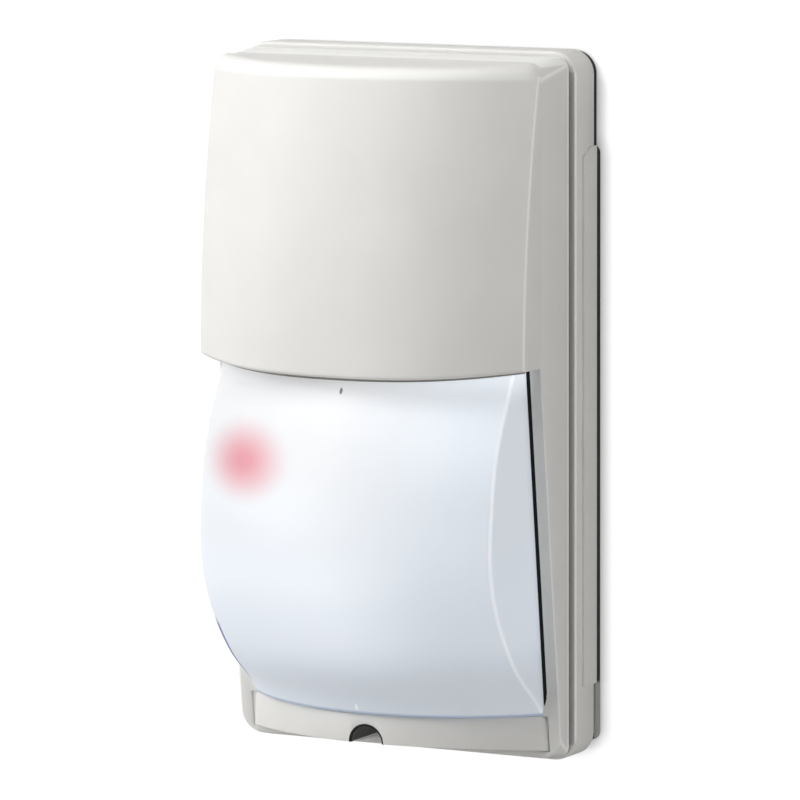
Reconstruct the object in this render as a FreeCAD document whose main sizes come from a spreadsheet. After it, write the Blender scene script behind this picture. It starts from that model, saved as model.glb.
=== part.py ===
"""Outdoor passive infrared motion detector for a wall.

Frame: X to the right seen from the front, the front faces -Y, Z up, millimetres.
The origin lies on the wall plane, midway between the two wall screws.
Depth is measured forwards from the face where the rear case sits on the back plate.
"""
import FreeCAD
import Part
import math
import os
import Sketcher

V = FreeCAD.Vector

doc = FreeCAD.newDocument("motion_detector")
sheet = doc.addObject("Spreadsheet::Sheet", "Sizes")

# Driving dimensions: alias, value, meaning
SIZES = [
    ("plate_thick", 2.6, "back plate thickness"),
    ("plate_overhang", 0.7, "how far the back plate stands out beside the case"),
    ("plate_top_drop", 29.7, "wide part of the back plate, below the case's top"),
    ("plate_bottom_rise", 4.7, "back plate's lower edge, above the case's"),
    ("plate_inset", 0.6, "how far the back plate's upper part lies inside the case's outline"),
    ("plate_corner", 2.5, "corner radius of the back plate"),
    ("wall_screw_spacing", 80.0, "spacing of the wall screw holes"),
    ("wall_screw_hole", 2.5, "radius of a wall screw hole"),
    ("head_recess", 6.0, "radius of the recess over a wall screw's head"),
    ("recess_deep", 2.0, "depth of that recess"),
    ("base_half_width", 58.5, "half the rear case's width"),
    ("base_half_height", 110.7, "half the rear case's height"),
    ("base_corner", 7.6, "corner radius of the rear case"),
    ("base_depth", 13.0, "depth of the rear case"),
    ("case_wall", 3.0, "wall of the rear case"),
    ("pad_proud", 0.95, "how far a side pad stands out"),
    ("pad_bottom_rise", 23.1, "lower end of a side pad, above the case's"),
    ("pad_depth", 8.7, "depth of a side pad"),
    ("pad_corner", 5.5, "corner of a side pad"),
    ("tongue_thick", 1.5, "thickness of the inner tongue"),
    ("tongue_depth", 16.2, "how far forward the tongue reaches"),
    ("tongue_gap", 0.2, "clearance of the tongue in the cover"),
    ("tongue_corner", 1.4, "inner corner radius of the tongue"),
    ("seam_gap", 1.5, "seam between case and cover, filled by the gasket"),
    ("gasket_inset", 1.1, "how far the gasket lies inside the cover's outer face"),
    ("case_lip", 1.5, "how far the case stands out beside the cover"),
    ("cover_corner", 4.0, "corner radius of the cover at the seam"),
    ("cover_corner_front", 13.0, "corner radius of the cover at the hood's side"),
    ("cover_wall", 2.5, "wall of the cover"),
    ("rim_depth", 19.3, "depth of the front rim at its bottom"),
    ("rim_slope", 6.55, "slope of the front rim in degrees"),
    ("rim_width", 4.0, "width of the rim beside the window"),
    ("hood_bottom", 15.0, "lower edge of the hood at its sides"),
    ("hood_droop", 2.6, "how much lower that edge is at the front"),
    ("hood_step", 0.9, "from the cover's top edge down to the hood's joint with the tray"),
    ("hood_fall", 1.5, "fall of the hood's top towards its front"),
    ("tray_fall", 0.9, "fall of the tray's top towards the hood"),
    ("hood_depth", 44.8, "depth of the hood's side at its lower edge"),
    ("hood_lean", 11.0, "how much less deep the side is at the top"),
    ("hood_lean_power", 1.9, "how the side leans back"),
    ("hood_sag", 21.0, "how far the hood bulges in front of its sides"),
    ("hood_power", 2.6, "roundness of the hood in plan"),
    ("hood_round", 4.0, "rounding of the hood's top edge"),
    ("hood_round_turn", 75.0, "turn of that rounding in degrees"),
    ("shelf_rise", 2.2, "height of the shelf above the hood's lower edge"),
    ("shelf_thick", 2.0, "thickness of that shelf"),
    ("chin_rise_low", 2.5, "lower edge of the chin, above the cover's"),
    ("chin_height", 11.1, "height of the chin"),
    ("chin_slope", 4.7, "slope of the chin's underside in degrees"),
    ("chin_sag", 23.0, "how far the chin bulges"),
    ("chin_side_gap", 1.8, "from the chin's end to the window's edge"),
    ("notch_radius", 6.1, "radius of the screwdriver notch"),
    ("notch_rise", 1.8, "centre of the notch, above the chin's lower edge"),
    ("notch_depth", 24.0, "depth where the cover screw's head seats"),
    ("lens_side_gap", 1.7, "gap between the lens's side and the window's edge"),
    ("lens_wall", 1.5, "wall of the lens window"),
    ("lens_axis", 24.5, "depth of the lens's centre of curvature, behind the case"),
    ("lens_hidden", 7.0, "height of the lens hidden behind the hood"),
    ("lens_gap", 0.3, "gap between the lens and the chin or shelf"),
    ("flange_width", 2.7, "width of the lens's flange"),
    ("flange_thick", 1.5, "thickness of that flange"),
    ("cover_screw_head", 3.2, "radius of the cover screw's head"),
    ("cover_screw_shank", 1.6, "radius of the cover screw's shank"),
    ("cover_boss", 3.5, "radius of the boss for the cover screw"),
    ("cover_screw_rise", 2.5, "cover screw, above the notch's centre"),
    ("screw_slot_half", 0.5, "half the width of a screw's slot"),
    ("screw_play", 0.15, "radial clearance of a screw in its hole"),
    ("screw_tip_gap", 1.5, "from the case's floor to a screw's tip"),
    ("board_back", 9.5, "depth of the circuit board's rear face"),
    ("board_thick", 1.6, "thickness of the circuit board"),
    ("board_side", 8.5, "from the case's side to the board's edge"),
    ("board_top_drop", 20.7, "from the case's top to the board's upper edge"),
    ("board_bottom_rise", 28.7, "from the case's bottom to the board's lower edge"),
    ("board_hole_inset", 6.0, "board screws, inside the board's edges"),
    ("board_screw", 1.2, "radius of a board screw's shank"),
    ("board_screw_head", 2.6, "radius of a board screw's head"),
    ("board_head_thick", 1.8, "thickness of a board screw's head"),
    ("board_boss", 3.6, "radius of a board boss"),
    ("plate_screw", 1.7, "radius of a case screw's shank"),
    ("plate_screw_head", 3.4, "radius of a case screw's head"),
    ("plate_head_thick", 2.2, "thickness of a case screw's head"),
    ("plate_screw_side", 20.5, "case screws, inside the case's sides"),
    ("plate_screw_rise", 15.7, "case screws, above the case's lower edge"),
    ("hook_half_width", 8.0, "half the hook's width"),
    ("hook_height", 60.0, "underside of the hook"),
    ("hook_thick", 3.0, "thickness of the hook"),
    ("hook_lip", 3.0, "height of the hook's lip"),
    ("hook_play", 0.4, "sideways clearance of the hook"),
    ("cable_rise", 22.7, "cable entry, above the case's lower edge"),
    ("grommet_radius", 6.0, "radius of the cable grommet in the case"),
    ("grommet_flange", 7.8, "radius of the grommet's flange"),
    ("grommet_bore", 2.5, "radius of the grommet's bore"),
    ("plate_cable_hole", 8.5, "radius of the plate's cable hole"),
    ("head_axis", 31.0, "depth of the detector head's pivot axis"),
    ("head_radius", 13.0, "radius of the detector head"),
    ("head_top", 1.0, "top of the detector head"),
    ("head_bottom", 63.0, "bottom of the detector head, below the origin"),
    ("head_face", 9.5, "flat front of the head in front of its axis"),
    ("pivot_radius", 2.2, "radius of the head's pivot pins"),
    ("pivot_play", 0.05, "radial clearance of pins and plungers that turn or slide"),
    ("arm_thick", 3.0, "thickness of a bracket arm"),
    ("arm_gap", 0.4, "clearance between head and arm"),
    ("arm_half_width", 6.0, "half the width of a bracket arm"),
    ("bracket_back", 2.0, "thickness of the bracket's back"),
    ("sensor_radius", 4.6, "radius of a pyroelectric sensor"),
    ("sensor_rim", 0.5, "how far a sensor's rim stands out"),
    ("sensor_rim_thick", 0.8, "thickness of that rim"),
    ("sensor_length", 4.2, "length of a sensor in front of the head"),
    ("sensor_upper", 14.0, "upper sensor, below the origin"),
    ("sensor_lower", 48.0, "lower sensor, below the origin"),
    ("terminal_pitch", 8.0, "pitch of the screw terminals"),
    ("terminal_depth", 10.0, "depth of the terminal block"),
    ("terminal_height", 10.0, "height of the terminal block"),
    ("terminal_drop", 14.0, "from the board's upper edge to the terminal block"),
    ("terminal_screw", 2.4, "radius of a terminal screw"),
    ("terminal_play", 0.3, "radial clearance of a terminal screw in its well"),
    ("relay_width", 16.0, "width of the relay"),
    ("relay_height", 20.0, "height of the relay"),
    ("relay_depth", 11.0, "depth of the relay"),
    ("capacitor_radius", 4.0, "radius of the capacitor"),
    ("capacitor_length", 12.0, "length of the capacitor"),
    ("capacitor_height", 34.0, "height of the capacitor's centre"),
    ("chip_side", 12.0, "side of the controller chip"),
    ("chip_thick", 1.4, "thickness of the controller chip"),
    ("chip_height", 28.0, "height of the chip's centre"),
    ("relay_centre", 40.0, "height of the relay's centre"),
    ("power_inset", 16.0, "relay and capacitor, inside the board's edge"),
    ("tamper_side", 5.0, "tamper switch, inside the board's edge"),
    ("tamper_height", 58.0, "height of the tamper switch"),
    ("tamper_half", 4.0, "half the tamper switch's width"),
    ("tamper_floor", 1.0, "floor of the tamper switch"),
    ("tamper_ceiling", 1.5, "thickness over the plunger's chamber"),
    ("tamper_front", 19.0, "front of the tamper switch's body"),
    ("tamper_tip", 21.5, "tip of the plunger with the cover closed"),
    ("tamper_radius", 1.3, "radius of the plunger"),
    ("tamper_collar", 2.2, "radius of the plunger's collar"),
    ("tamper_collar_thick", 1.5, "thickness of the plunger's collar"),
    ("tamper_rib", 3.25, "half the side of the cover's rib that presses the plunger"),
    ("tamper_travel", 1.0, "over-travel of the plunger behind the closed cover"),
    ("trimmer_x", 16.0, "sensitivity trimmer, sideways from the middle"),
    ("switch_x", 14.0, "mode switch, sideways to the left"),
    ("control_drop", 14.0, "trimmer and mode switch, below the terminal block"),
    ("trimmer_half", 3.5, "half the trimmer body's width"),
    ("trimmer_front", 15.0, "front of the trimmer's body"),
    ("trimmer_knob", 2.6, "radius of the trimmer's knob"),
    ("trimmer_knob_thick", 2.5, "thickness of that knob"),
    ("trimmer_stem", 1.0, "radius of the trimmer's stem"),
    ("trimmer_gap", 0.1, "gap under the knob and under its stem"),
    ("trimmer_slot", 1.2, "depth of the knob's slot"),
    ("trimmer_slot_half", 0.4, "half the width of that slot"),
    ("switch_travel", 2.0, "travel of the mode slider"),
    ("switch_wall", 2.0, "end wall of the mode switch"),
    ("switch_side", 1.3, "side wall of the mode switch"),
    ("switch_front", 4.0, "height of the mode switch on the board"),
    ("slider_half", 2.0, "half the slider's length"),
    ("slider_half_high", 1.1, "half the slider's height"),
    ("slider_gap", 0.1, "clearance of the slider in its channel"),
    ("slider_proud", 1.5, "how far the slider stands out"),
    ("led_inset", 17.0, "alarm light, inside the board's edge"),
    ("led_height", 15.0, "alarm light, below the origin"),
    ("led_radius", 2.5, "radius of the alarm light"),
    ("led_front", 17.0, "front of the alarm light"),
    ("pipe_radius", 3.2, "radius of the light pipe"),
    ("pipe_foot", 1.2, "how far the light pipe's foot stands out"),
    ("pipe_front", 50.0, "front of the light pipe"),
]

# Sizes that follow from the driving ones: alias, formula, meaning
FOLLOWING = [
    ("plate_half_width", "base_half_width + plate_overhang", "half the back plate's width"),
    ("plate_top", "base_half_height - plate_top_drop", "top of the back plate's wide part"),
    ("plate_bottom", "base_half_height - plate_bottom_rise", "bottom of the back plate"),
    ("pad_bottom", "base_half_height - pad_bottom_rise", "bottom of a side pad"),
    ("cover_half_width", "base_half_width - case_lip", "half the cover's width"),
    ("cover_half_height", "base_half_height - case_lip", "half the cover's height"),
    ("cover_back", "base_depth + seam_gap", "depth of the cover's rear edge"),
    ("window_half_width", "cover_half_width - rim_width", "half the window opening's width"),
    ("lens_half_width", "window_half_width - lens_side_gap", "half the lens window's width"),
    ("lens_top", "hood_bottom + lens_hidden", "hidden top of the lens"),
    ("chin_half_width", "window_half_width - chin_side_gap", "half the chin's width"),
    ("hood_top", "cover_half_height - hood_step", "top of the hood where it leaves the tray"),
    ("chin_bottom", "cover_half_height - chin_rise_low", "bottom of the chin, below the origin"),
    ("chin_top", "chin_bottom - chin_height", "top of the chin, below the origin"),
    ("notch_centre", "chin_bottom - notch_rise", "notch's centre, below the origin"),
    ("cover_screw_height", "notch_centre - cover_screw_rise", "cover screw, below the origin"),
    ("plate_screw_x", "base_half_width - plate_screw_side", "case screws, sideways"),
    ("plate_screw_height", "base_half_height - plate_screw_rise", "case screws, below the origin"),
    ("cable_height", "base_half_height - cable_rise", "cable entry, below the origin"),
    ("board_half_width", "base_half_width - board_side", "half the circuit board's width"),
    ("board_top", "base_half_height - board_top_drop", "top of the circuit board"),
    ("board_bottom", "base_half_height - board_bottom_rise", "bottom of the board, below the origin"),
    ("board_front", "board_back + board_thick", "depth of the circuit board's front face"),
    ("board_hole_x", "board_half_width - board_hole_inset", "board screws, sideways"),
    ("board_hole_top", "board_top - board_hole_inset", "upper board screws"),
    ("board_hole_bottom", "board_bottom - board_hole_inset", "lower board screws, below the origin"),
    ("terminal_top", "board_top - terminal_drop", "top of the terminal block"),
    ("tamper_x", "board_half_width - tamper_side", "tamper switch, sideways from the middle"),
    ("power_side", "board_half_width - power_inset", "relay and capacitor, sideways"),
    ("led_x", "board_half_width - led_inset", "alarm light, sideways to the left"),
    ("control_height", "terminal_top - terminal_height - control_drop",
     "height of trimmer and mode switch"),
]
row = 0
for alias, value, meaning in SIZES + FOLLOWING:
    row += 1
    sheet.set("A%d" % row, alias)
    sheet.set("B%d" % row, "=" + value if isinstance(value, str) else str(value))
    sheet.set("C%d" % row, meaning)
    sheet.setAlias("B%d" % row, alias)
doc.recompute()

# Side view of the lens window, from its hidden top to the chin: share of its height,
# and how far its side crease lies in front of the rim's lower end
LENS_SIDE = [
    (1.0, 18.2),
    (0.906, 23.2),
    (0.736, 32.2),
    (0.557, 36.3),
    (0.429, 36.9),
    (0.301, 32.7),
    (0.165, 22.2),
    (0.045, 3.5),
    (0.0, -2.1),
]
# Places of a sketch's corners before its dimensions move them
START_NEAR = 1.0
START_MIDDLE = 8.0
START_FAR = 10.0

SECTION_POINTS = 17
HOOD_SECTIONS = 7
ROUND_SECTIONS = 4
REACH = 200.0

nodes = []


def s(name):
    """One named size, read back from the sheet."""
    return float(sheet.get(name))


def front(depth):
    """Y of a depth measured forwards from the face between case and plate."""
    return -(s("plate_thick") + depth)


def keep(label, obj):
    """Names a finished sub-part's object after its node."""
    obj.Label = label
    nodes.append(obj)
    return obj


def bind(obj, **expressions):
    """Binds an object's properties to expressions on the sheet."""
    for prop, expression in expressions.items():
        obj.setExpression(prop.replace("__", "."), expression)
    return obj


def depth_expression(depth):
    """Expression of Y for an expression of depth."""
    return "-(Sizes.plate_thick + (%s))" % depth


def box(name, x0, x1, depth0, depth1, z0, z1):
    """Part::Box between expressions of x, depth and z, each pair in rising order."""
    obj = doc.addObject("Part::Box", name)
    bind(obj, Length="(%s) - (%s)" % (x1, x0), Width="(%s) - (%s)" % (depth1, depth0),
         Height="(%s) - (%s)" % (z1, z0))
    bind(obj, Placement__Base__x=x0, Placement__Base__y=depth_expression(depth1),
         Placement__Base__z=z0)
    return obj


def rod(name, radius, x, z, depth0, depth1):
    """Part::Cylinder along Y between two depths."""
    obj = doc.addObject("Part::Cylinder", name)
    obj.Placement = FreeCAD.Placement(V(), FreeCAD.Rotation(V(1, 0, 0), 90))
    bind(obj, Radius=radius, Height="(%s) - (%s)" % (depth1, depth0))
    bind(obj, Placement__Base__x=x, Placement__Base__y=depth_expression(depth0),
         Placement__Base__z=z)
    return obj


def post(name, radius, x, depth, z0, z1):
    """Part::Cylinder along Z at a depth."""
    obj = doc.addObject("Part::Cylinder", name)
    bind(obj, Radius=radius, Height="(%s) - (%s)" % (z1, z0))
    bind(obj, Placement__Base__x=x, Placement__Base__y=depth_expression(depth),
         Placement__Base__z=z0)
    return obj


def fuse(name, *pieces):
    obj = doc.addObject("Part::MultiFuse", name)
    obj.Shapes = list(pieces)
    obj.Refine = True
    return obj


def cut(name, base, tool):
    obj = doc.addObject("Part::Cut", name)
    obj.Base = base
    obj.Tool = tool
    return obj


def origin_plane(body, role):
    return next(f for f in body.Origin.OriginFeatures if f.Role == role)


def new_body(label):
    return keep(label, doc.addObject("PartDesign::Body", label))


def new_sketch(body, name, role, offset):
    """Sketch on one of the body's own planes, moved along that plane's normal."""
    sketch = body.newObject("Sketcher::SketchObject", name)
    sketch.AttachmentSupport = [(origin_plane(body, role), "")]
    sketch.MapMode = "FlatFace"
    sketch.setExpression("AttachmentOffset.Base.z", offset)
    return sketch


def dimension(sketch, kind, refs, value, name, expression):
    """Adds a named dimension and binds it."""
    index = sketch.addConstraint(Sketcher.Constraint(kind, *refs, value))
    sketch.renameConstraint(index, name)
    sketch.setExpression("Constraints." + name, expression)


def add_rounded(sketch, tag, half_width, top, bottom, corner):
    """Rounded rectangle about the vertical axis, all four sizes given as expressions."""
    w, h, r = START_FAR, START_MIDDLE, START_NEAR
    b = h
    quarter = math.pi / 2
    first = sketch.GeometryCount
    corners = [(w - r, r - b), (w - r, h - r), (r - w, h - r), (r - w, r - b)]
    ends = []
    for turn, (x, z) in enumerate(corners):
        a = (turn - 1) * quarter
        q = turn * quarter
        ends.append((V(x + r * math.cos(a), z + r * math.sin(a), 0),
                     V(x + r * math.cos(q), z + r * math.sin(q), 0), V(x, z, 0), a, q))
    for i in range(4):
        sketch.addGeometry(Part.LineSegment(ends[i - 1][1], ends[i][0]))
        circle = Part.Circle(ends[i][2], V(0, 0, 1), r)
        sketch.addGeometry(Part.ArcOfCircle(circle, ends[i][3], ends[i][4]))
    for i in range(8):
        sketch.addConstraint(Sketcher.Constraint("Tangent", first + i, 2, first + (i + 1) % 8, 1))
    for i in (0, 4):
        sketch.addConstraint(Sketcher.Constraint("Horizontal", first + i))
    for i in (2, 6):
        sketch.addConstraint(Sketcher.Constraint("Vertical", first + i))
    for i in (3, 5, 7):
        sketch.addConstraint(Sketcher.Constraint("Equal", first + 1, first + i))
    dimension(sketch, "Radius", (first + 1,), r, tag + "_corner", corner)
    dimension(sketch, "DistanceX", (-1, 1, first + 2, 1), w, tag + "_right", half_width)
    dimension(sketch, "DistanceX", (first + 6, 1, -1, 1), w, tag + "_left", half_width)
    dimension(sketch, "DistanceY", (-1, 1, first + 4, 1), h, tag + "_top", top)
    dimension(sketch, "DistanceY", (first, 1, -1, 1), b, tag + "_bottom", bottom)


def add_circle(sketch, tag, x, z, radius, x_sign, z_sign):
    """Circle at expressions of x and z, whose signs say which side of the axes it is on."""
    centre = V(START_FAR * x_sign, START_FAR * z_sign, 0)
    index = sketch.addGeometry(Part.Circle(centre, V(0, 0, 1), START_NEAR))
    dimension(sketch, "Radius", (index,), START_NEAR, tag + "_radius", radius)
    for axis, sign, expression in (("X", x_sign, x), ("Y", z_sign, z)):
        if sign == 0:
            on_axis = -2 if axis == "X" else -1
            sketch.addConstraint(Sketcher.Constraint("PointOnObject", index, 3, on_axis))
        elif sign > 0:
            dimension(sketch, "Distance" + axis, (-1, 1, index, 3), START_FAR, tag + "_" + axis,
                      expression)
        else:
            dimension(sketch, "Distance" + axis, (index, 3, -1, 1), START_FAR, tag + "_" + axis,
                      expression)


def pad(body, name, sketch, length):
    feature = body.newObject("PartDesign::Pad", name)
    feature.Profile = sketch
    feature.setExpression("Length", length)
    doc.recompute()
    return feature


def pocket(body, name, sketch, length):
    """Cuts back into the solid from the sketch, and checks that it took something away."""
    before = body.Shape.Volume
    feature = body.newObject("PartDesign::Pocket", name)
    feature.Profile = sketch
    feature.setExpression("Length", length)
    doc.recompute()
    if body.Shape.Volume >= before:
        raise RuntimeError(name + " cuts nothing")
    return feature


# Back plate


def back_plate():
    """Wall plate with two screw holes, a cable hole and the hook that carries the case."""
    body = new_body("back_plate")
    outline = new_sketch(body, "plate_outline", "XZ_Plane", "0 mm")
    add_rounded(outline, "plate", "Sizes.plate_half_width", "Sizes.plate_top",
                "Sizes.plate_bottom", "Sizes.plate_corner")
    pad(body, "plate_pad", outline, "Sizes.plate_thick")
    upper = new_sketch(body, "plate_upper_outline", "XZ_Plane", "0 mm")
    add_rounded(upper, "upper", "Sizes.base_half_width - Sizes.plate_inset",
                "Sizes.base_half_height - Sizes.plate_inset", "Sizes.plate_bottom - Sizes.plate_corner",
                "Sizes.base_corner - Sizes.plate_inset")
    pad(body, "plate_upper", upper, "Sizes.plate_thick")
    holes = new_sketch(body, "plate_holes", "XZ_Plane", "Sizes.plate_thick")
    for tag, sign in (("upper", 1), ("lower", -1)):
        add_circle(holes, tag, "0", "Sizes.wall_screw_spacing / 2", "Sizes.wall_screw_hole", 0, sign)
    for tag, sign in (("left", -1), ("right", 1)):
        add_circle(holes, tag, "Sizes.plate_screw_x", "Sizes.plate_screw_height",
                   "Sizes.plate_screw + Sizes.pivot_play", sign, -1)
    add_circle(holes, "cable", "0", "Sizes.cable_height", "Sizes.plate_cable_hole", 0, -1)
    pocket(body, "plate_cuts", holes, "Sizes.plate_thick")
    stem = new_sketch(body, "hook_stem", "XZ_Plane", "Sizes.plate_thick")
    add_block(stem, "stem", "Sizes.hook_half_width", "Sizes.hook_height",
              "Sizes.hook_height + Sizes.hook_thick")
    pad(body, "hook_stem_pad", stem, "Sizes.case_wall + Sizes.hook_thick")
    lip = new_sketch(body, "hook_lip_outline", "XZ_Plane", "Sizes.plate_thick + Sizes.case_wall")
    add_block(lip, "lip", "Sizes.hook_half_width", "Sizes.hook_height",
              "Sizes.hook_height + Sizes.hook_thick + Sizes.hook_lip")
    pad(body, "hook_lip_pad", lip, "Sizes.hook_thick")


def add_block(sketch, tag, half_width, low, high):
    """Plain rectangle about the vertical axis, above the origin."""
    first = sketch.GeometryCount
    w, z0, z1 = START_NEAR, START_MIDDLE, START_FAR
    points = [V(-w, z0, 0), V(w, z0, 0), V(w, z1, 0), V(-w, z1, 0)]
    for i in range(4):
        sketch.addGeometry(Part.LineSegment(points[i], points[(i + 1) % 4]))
    for i in range(4):
        sketch.addConstraint(Sketcher.Constraint("Coincident", first + i, 2, first + (i + 1) % 4, 1))
    for i in (0, 2):
        sketch.addConstraint(Sketcher.Constraint("Horizontal", first + i))
    for i in (1, 3):
        sketch.addConstraint(Sketcher.Constraint("Vertical", first + i))
    dimension(sketch, "DistanceX", (-1, 1, first + 1, 1), w, tag + "_right", half_width)
    dimension(sketch, "DistanceX", (first + 3, 1, -1, 1), w, tag + "_left", half_width)
    dimension(sketch, "DistanceY", (-1, 1, first, 1), z0, tag + "_low", low)
    dimension(sketch, "DistanceY", (-1, 1, first + 2, 1), z1, tag + "_high", high)


# Rear case


def rear_case():
    """Shallow tray with side pads, tongue, bosses, hook slot, cable entry and screw holes."""
    body = new_body("rear_case")
    outline = new_sketch(body, "case_outline", "XZ_Plane", "Sizes.plate_thick")
    add_rounded(outline, "case", "Sizes.base_half_width", "Sizes.base_half_height",
                "Sizes.base_half_height", "Sizes.base_corner")
    pad(body, "case_pad", outline, "Sizes.base_depth")

    side = new_sketch(body, "side_pad_outline", "YZ_Plane", "0 mm")
    add_side_pad(side)
    both = pad(body, "side_pads", side, "2 * (Sizes.base_half_width + Sizes.pad_proud)")
    both.Midplane = True
    doc.recompute()

    inside = new_sketch(body, "case_inside", "XZ_Plane", "Sizes.plate_thick + Sizes.base_depth")
    add_rounded(inside, "inside", "Sizes.base_half_width - Sizes.case_wall",
                "Sizes.base_half_height - Sizes.case_wall", "Sizes.base_half_height - Sizes.case_wall",
                "Sizes.base_corner - Sizes.case_wall")
    pocket(body, "case_hollow", inside, "Sizes.base_depth - Sizes.case_wall")

    floor = "Sizes.plate_thick + Sizes.case_wall / 2"
    ring = new_sketch(body, "tongue_ring", "XZ_Plane", floor)
    reach = "Sizes.cover_half_%s - Sizes.cover_wall - Sizes.tongue_gap"
    add_rounded(ring, "outer", reach % "width", reach % "height", reach % "height",
                "Sizes.tongue_corner + Sizes.tongue_thick")
    inner = reach + " - Sizes.tongue_thick"
    add_rounded(ring, "inner", inner % "width", inner % "height", inner % "height",
                "Sizes.tongue_corner")
    pad(body, "tongue", ring, "Sizes.tongue_depth - Sizes.case_wall / 2")

    bosses = new_sketch(body, "board_bosses", "XZ_Plane", floor)
    for tag, x_sign, z_sign in CORNERS:
        add_circle(bosses, tag, "Sizes.board_hole_x", board_hole_height(z_sign), "Sizes.board_boss",
                   x_sign, z_sign)
    pad(body, "boss_pad", bosses, "Sizes.board_back - Sizes.case_wall / 2")

    boss = new_sketch(body, "cover_boss", "XZ_Plane", floor)
    add_circle(boss, "cover", "0", "Sizes.cover_screw_height", "Sizes.cover_boss", 0, -1)
    pad(body, "cover_boss_pad", boss, "Sizes.tongue_depth - Sizes.case_wall / 2")

    through = new_sketch(body, "case_holes", "XZ_Plane", "Sizes.plate_thick + Sizes.case_wall")
    for tag, sign in (("left", -1), ("right", 1)):
        add_circle(through, tag, "Sizes.plate_screw_x", "Sizes.plate_screw_height",
                   "Sizes.plate_screw + Sizes.screw_play", sign, -1)
    add_circle(through, "cable", "0", "Sizes.cable_height", "Sizes.grommet_radius", 0, -1)
    pocket(body, "case_through_holes", through, "Sizes.case_wall")

    slot = new_sketch(body, "hook_slot", "XZ_Plane", "Sizes.plate_thick + Sizes.case_wall")
    add_block(slot, "slot", "Sizes.hook_half_width + Sizes.hook_play",
              "Sizes.hook_height - 2 * Sizes.hook_lip", "Sizes.hook_height + Sizes.hook_thick")
    pocket(body, "hook_slot_cut", slot, "Sizes.case_wall")

    pilots = new_sketch(body, "board_pilots", "XZ_Plane", "Sizes.plate_thick + Sizes.board_back")
    for tag, x_sign, z_sign in CORNERS:
        add_circle(pilots, tag, "Sizes.board_hole_x", board_hole_height(z_sign),
                   "Sizes.board_screw + Sizes.pivot_play", x_sign, z_sign)
    pocket(body, "board_pilot_holes", pilots, "Sizes.board_back - Sizes.case_wall")

    pilot = new_sketch(body, "cover_pilot", "XZ_Plane", "Sizes.plate_thick + Sizes.tongue_depth")
    add_circle(pilot, "pilot", "0", "Sizes.cover_screw_height",
               "Sizes.cover_screw_shank + Sizes.pivot_play", 0, -1)
    pocket(body, "cover_pilot_hole", pilot, "Sizes.tongue_depth - Sizes.case_wall")

    recess = new_sketch(body, "head_recesses", "XZ_Plane", "Sizes.plate_thick + Sizes.recess_deep")
    for tag, sign in (("upper", 1), ("lower", -1)):
        add_circle(recess, tag, "0", "Sizes.wall_screw_spacing / 2", "Sizes.head_recess", 0, sign)
    pocket(body, "head_recess_cut", recess, "Sizes.recess_deep")


CORNERS = [
    ("upper_left", -1, 1),
    ("upper_right", 1, 1),
    ("lower_left", -1, -1),
    ("lower_right", 1, -1),
]


def board_hole_height(z_sign):
    return "Sizes.board_hole_top" if z_sign > 0 else "Sizes.board_hole_bottom"


def add_side_pad(sketch):
    """Side pad seen from the right: upright panel with its upper front corner cut off."""
    y0, y1, z0, z1, c = -START_FAR, -START_NEAR, -START_MIDDLE, START_MIDDLE, START_NEAR
    points = [V(y0, z0, 0), V(y1, z0, 0), V(y1, z1, 0), V(y0 + c, z1, 0), V(y0, z1 - c, 0)]
    count = len(points)
    for i in range(count):
        sketch.addGeometry(Part.LineSegment(points[i], points[(i + 1) % count]))
    for i in range(count):
        sketch.addConstraint(Sketcher.Constraint("Coincident", i, 2, (i + 1) % count, 1))
    for i in (0, 2):
        sketch.addConstraint(Sketcher.Constraint("Horizontal", i))
    for i in (1, 4):
        sketch.addConstraint(Sketcher.Constraint("Vertical", i))
    dimension(sketch, "DistanceX", (0, 1, -1, 1), -y0, "pad_front",
              "Sizes.plate_thick + Sizes.pad_depth")
    dimension(sketch, "DistanceX", (0, 2, -1, 1), -y1, "pad_rear", "Sizes.plate_thick")
    dimension(sketch, "DistanceY", (0, 1, -1, 1), -z0, "pad_low", "Sizes.pad_bottom")
    dimension(sketch, "DistanceY", (-1, 1, 2, 1), z1, "pad_high", "Sizes.plate_top")
    dimension(sketch, "DistanceX", (4, 1, 2, 2), c, "pad_cut_deep", "Sizes.pad_corner")
    dimension(sketch, "DistanceY", (4, 1, 2, 2), c, "pad_cut_high", "Sizes.pad_corner / 2")


def case_gasket():
    """Rubber ring that fills the seam between the rear case and the cover."""
    body = new_body("case_gasket")
    ring = new_sketch(body, "gasket_ring", "XZ_Plane", "Sizes.plate_thick + Sizes.base_depth")
    outer = "Sizes.cover_half_%s - Sizes.gasket_inset"
    add_rounded(ring, "outer", outer % "width", outer % "height", outer % "height",
                "Sizes.cover_corner - Sizes.gasket_inset")
    inner = "Sizes.cover_half_%s - Sizes.cover_wall"
    add_rounded(ring, "inner", inner % "width", inner % "height", inner % "height",
                "Sizes.cover_corner - Sizes.cover_wall")
    pad(body, "gasket_pad", ring, "Sizes.seam_gap")


# Front cover, from plain shapes, lofts and cuts


def corner_at(depth):
    """Corner radius of the cover at a depth: it widens from the seam to the hood's side."""
    share = (depth - s("cover_back")) / (s("hood_depth") - s("cover_back"))
    return s("cover_corner") + share * (s("cover_corner_front") - s("cover_corner"))


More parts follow.
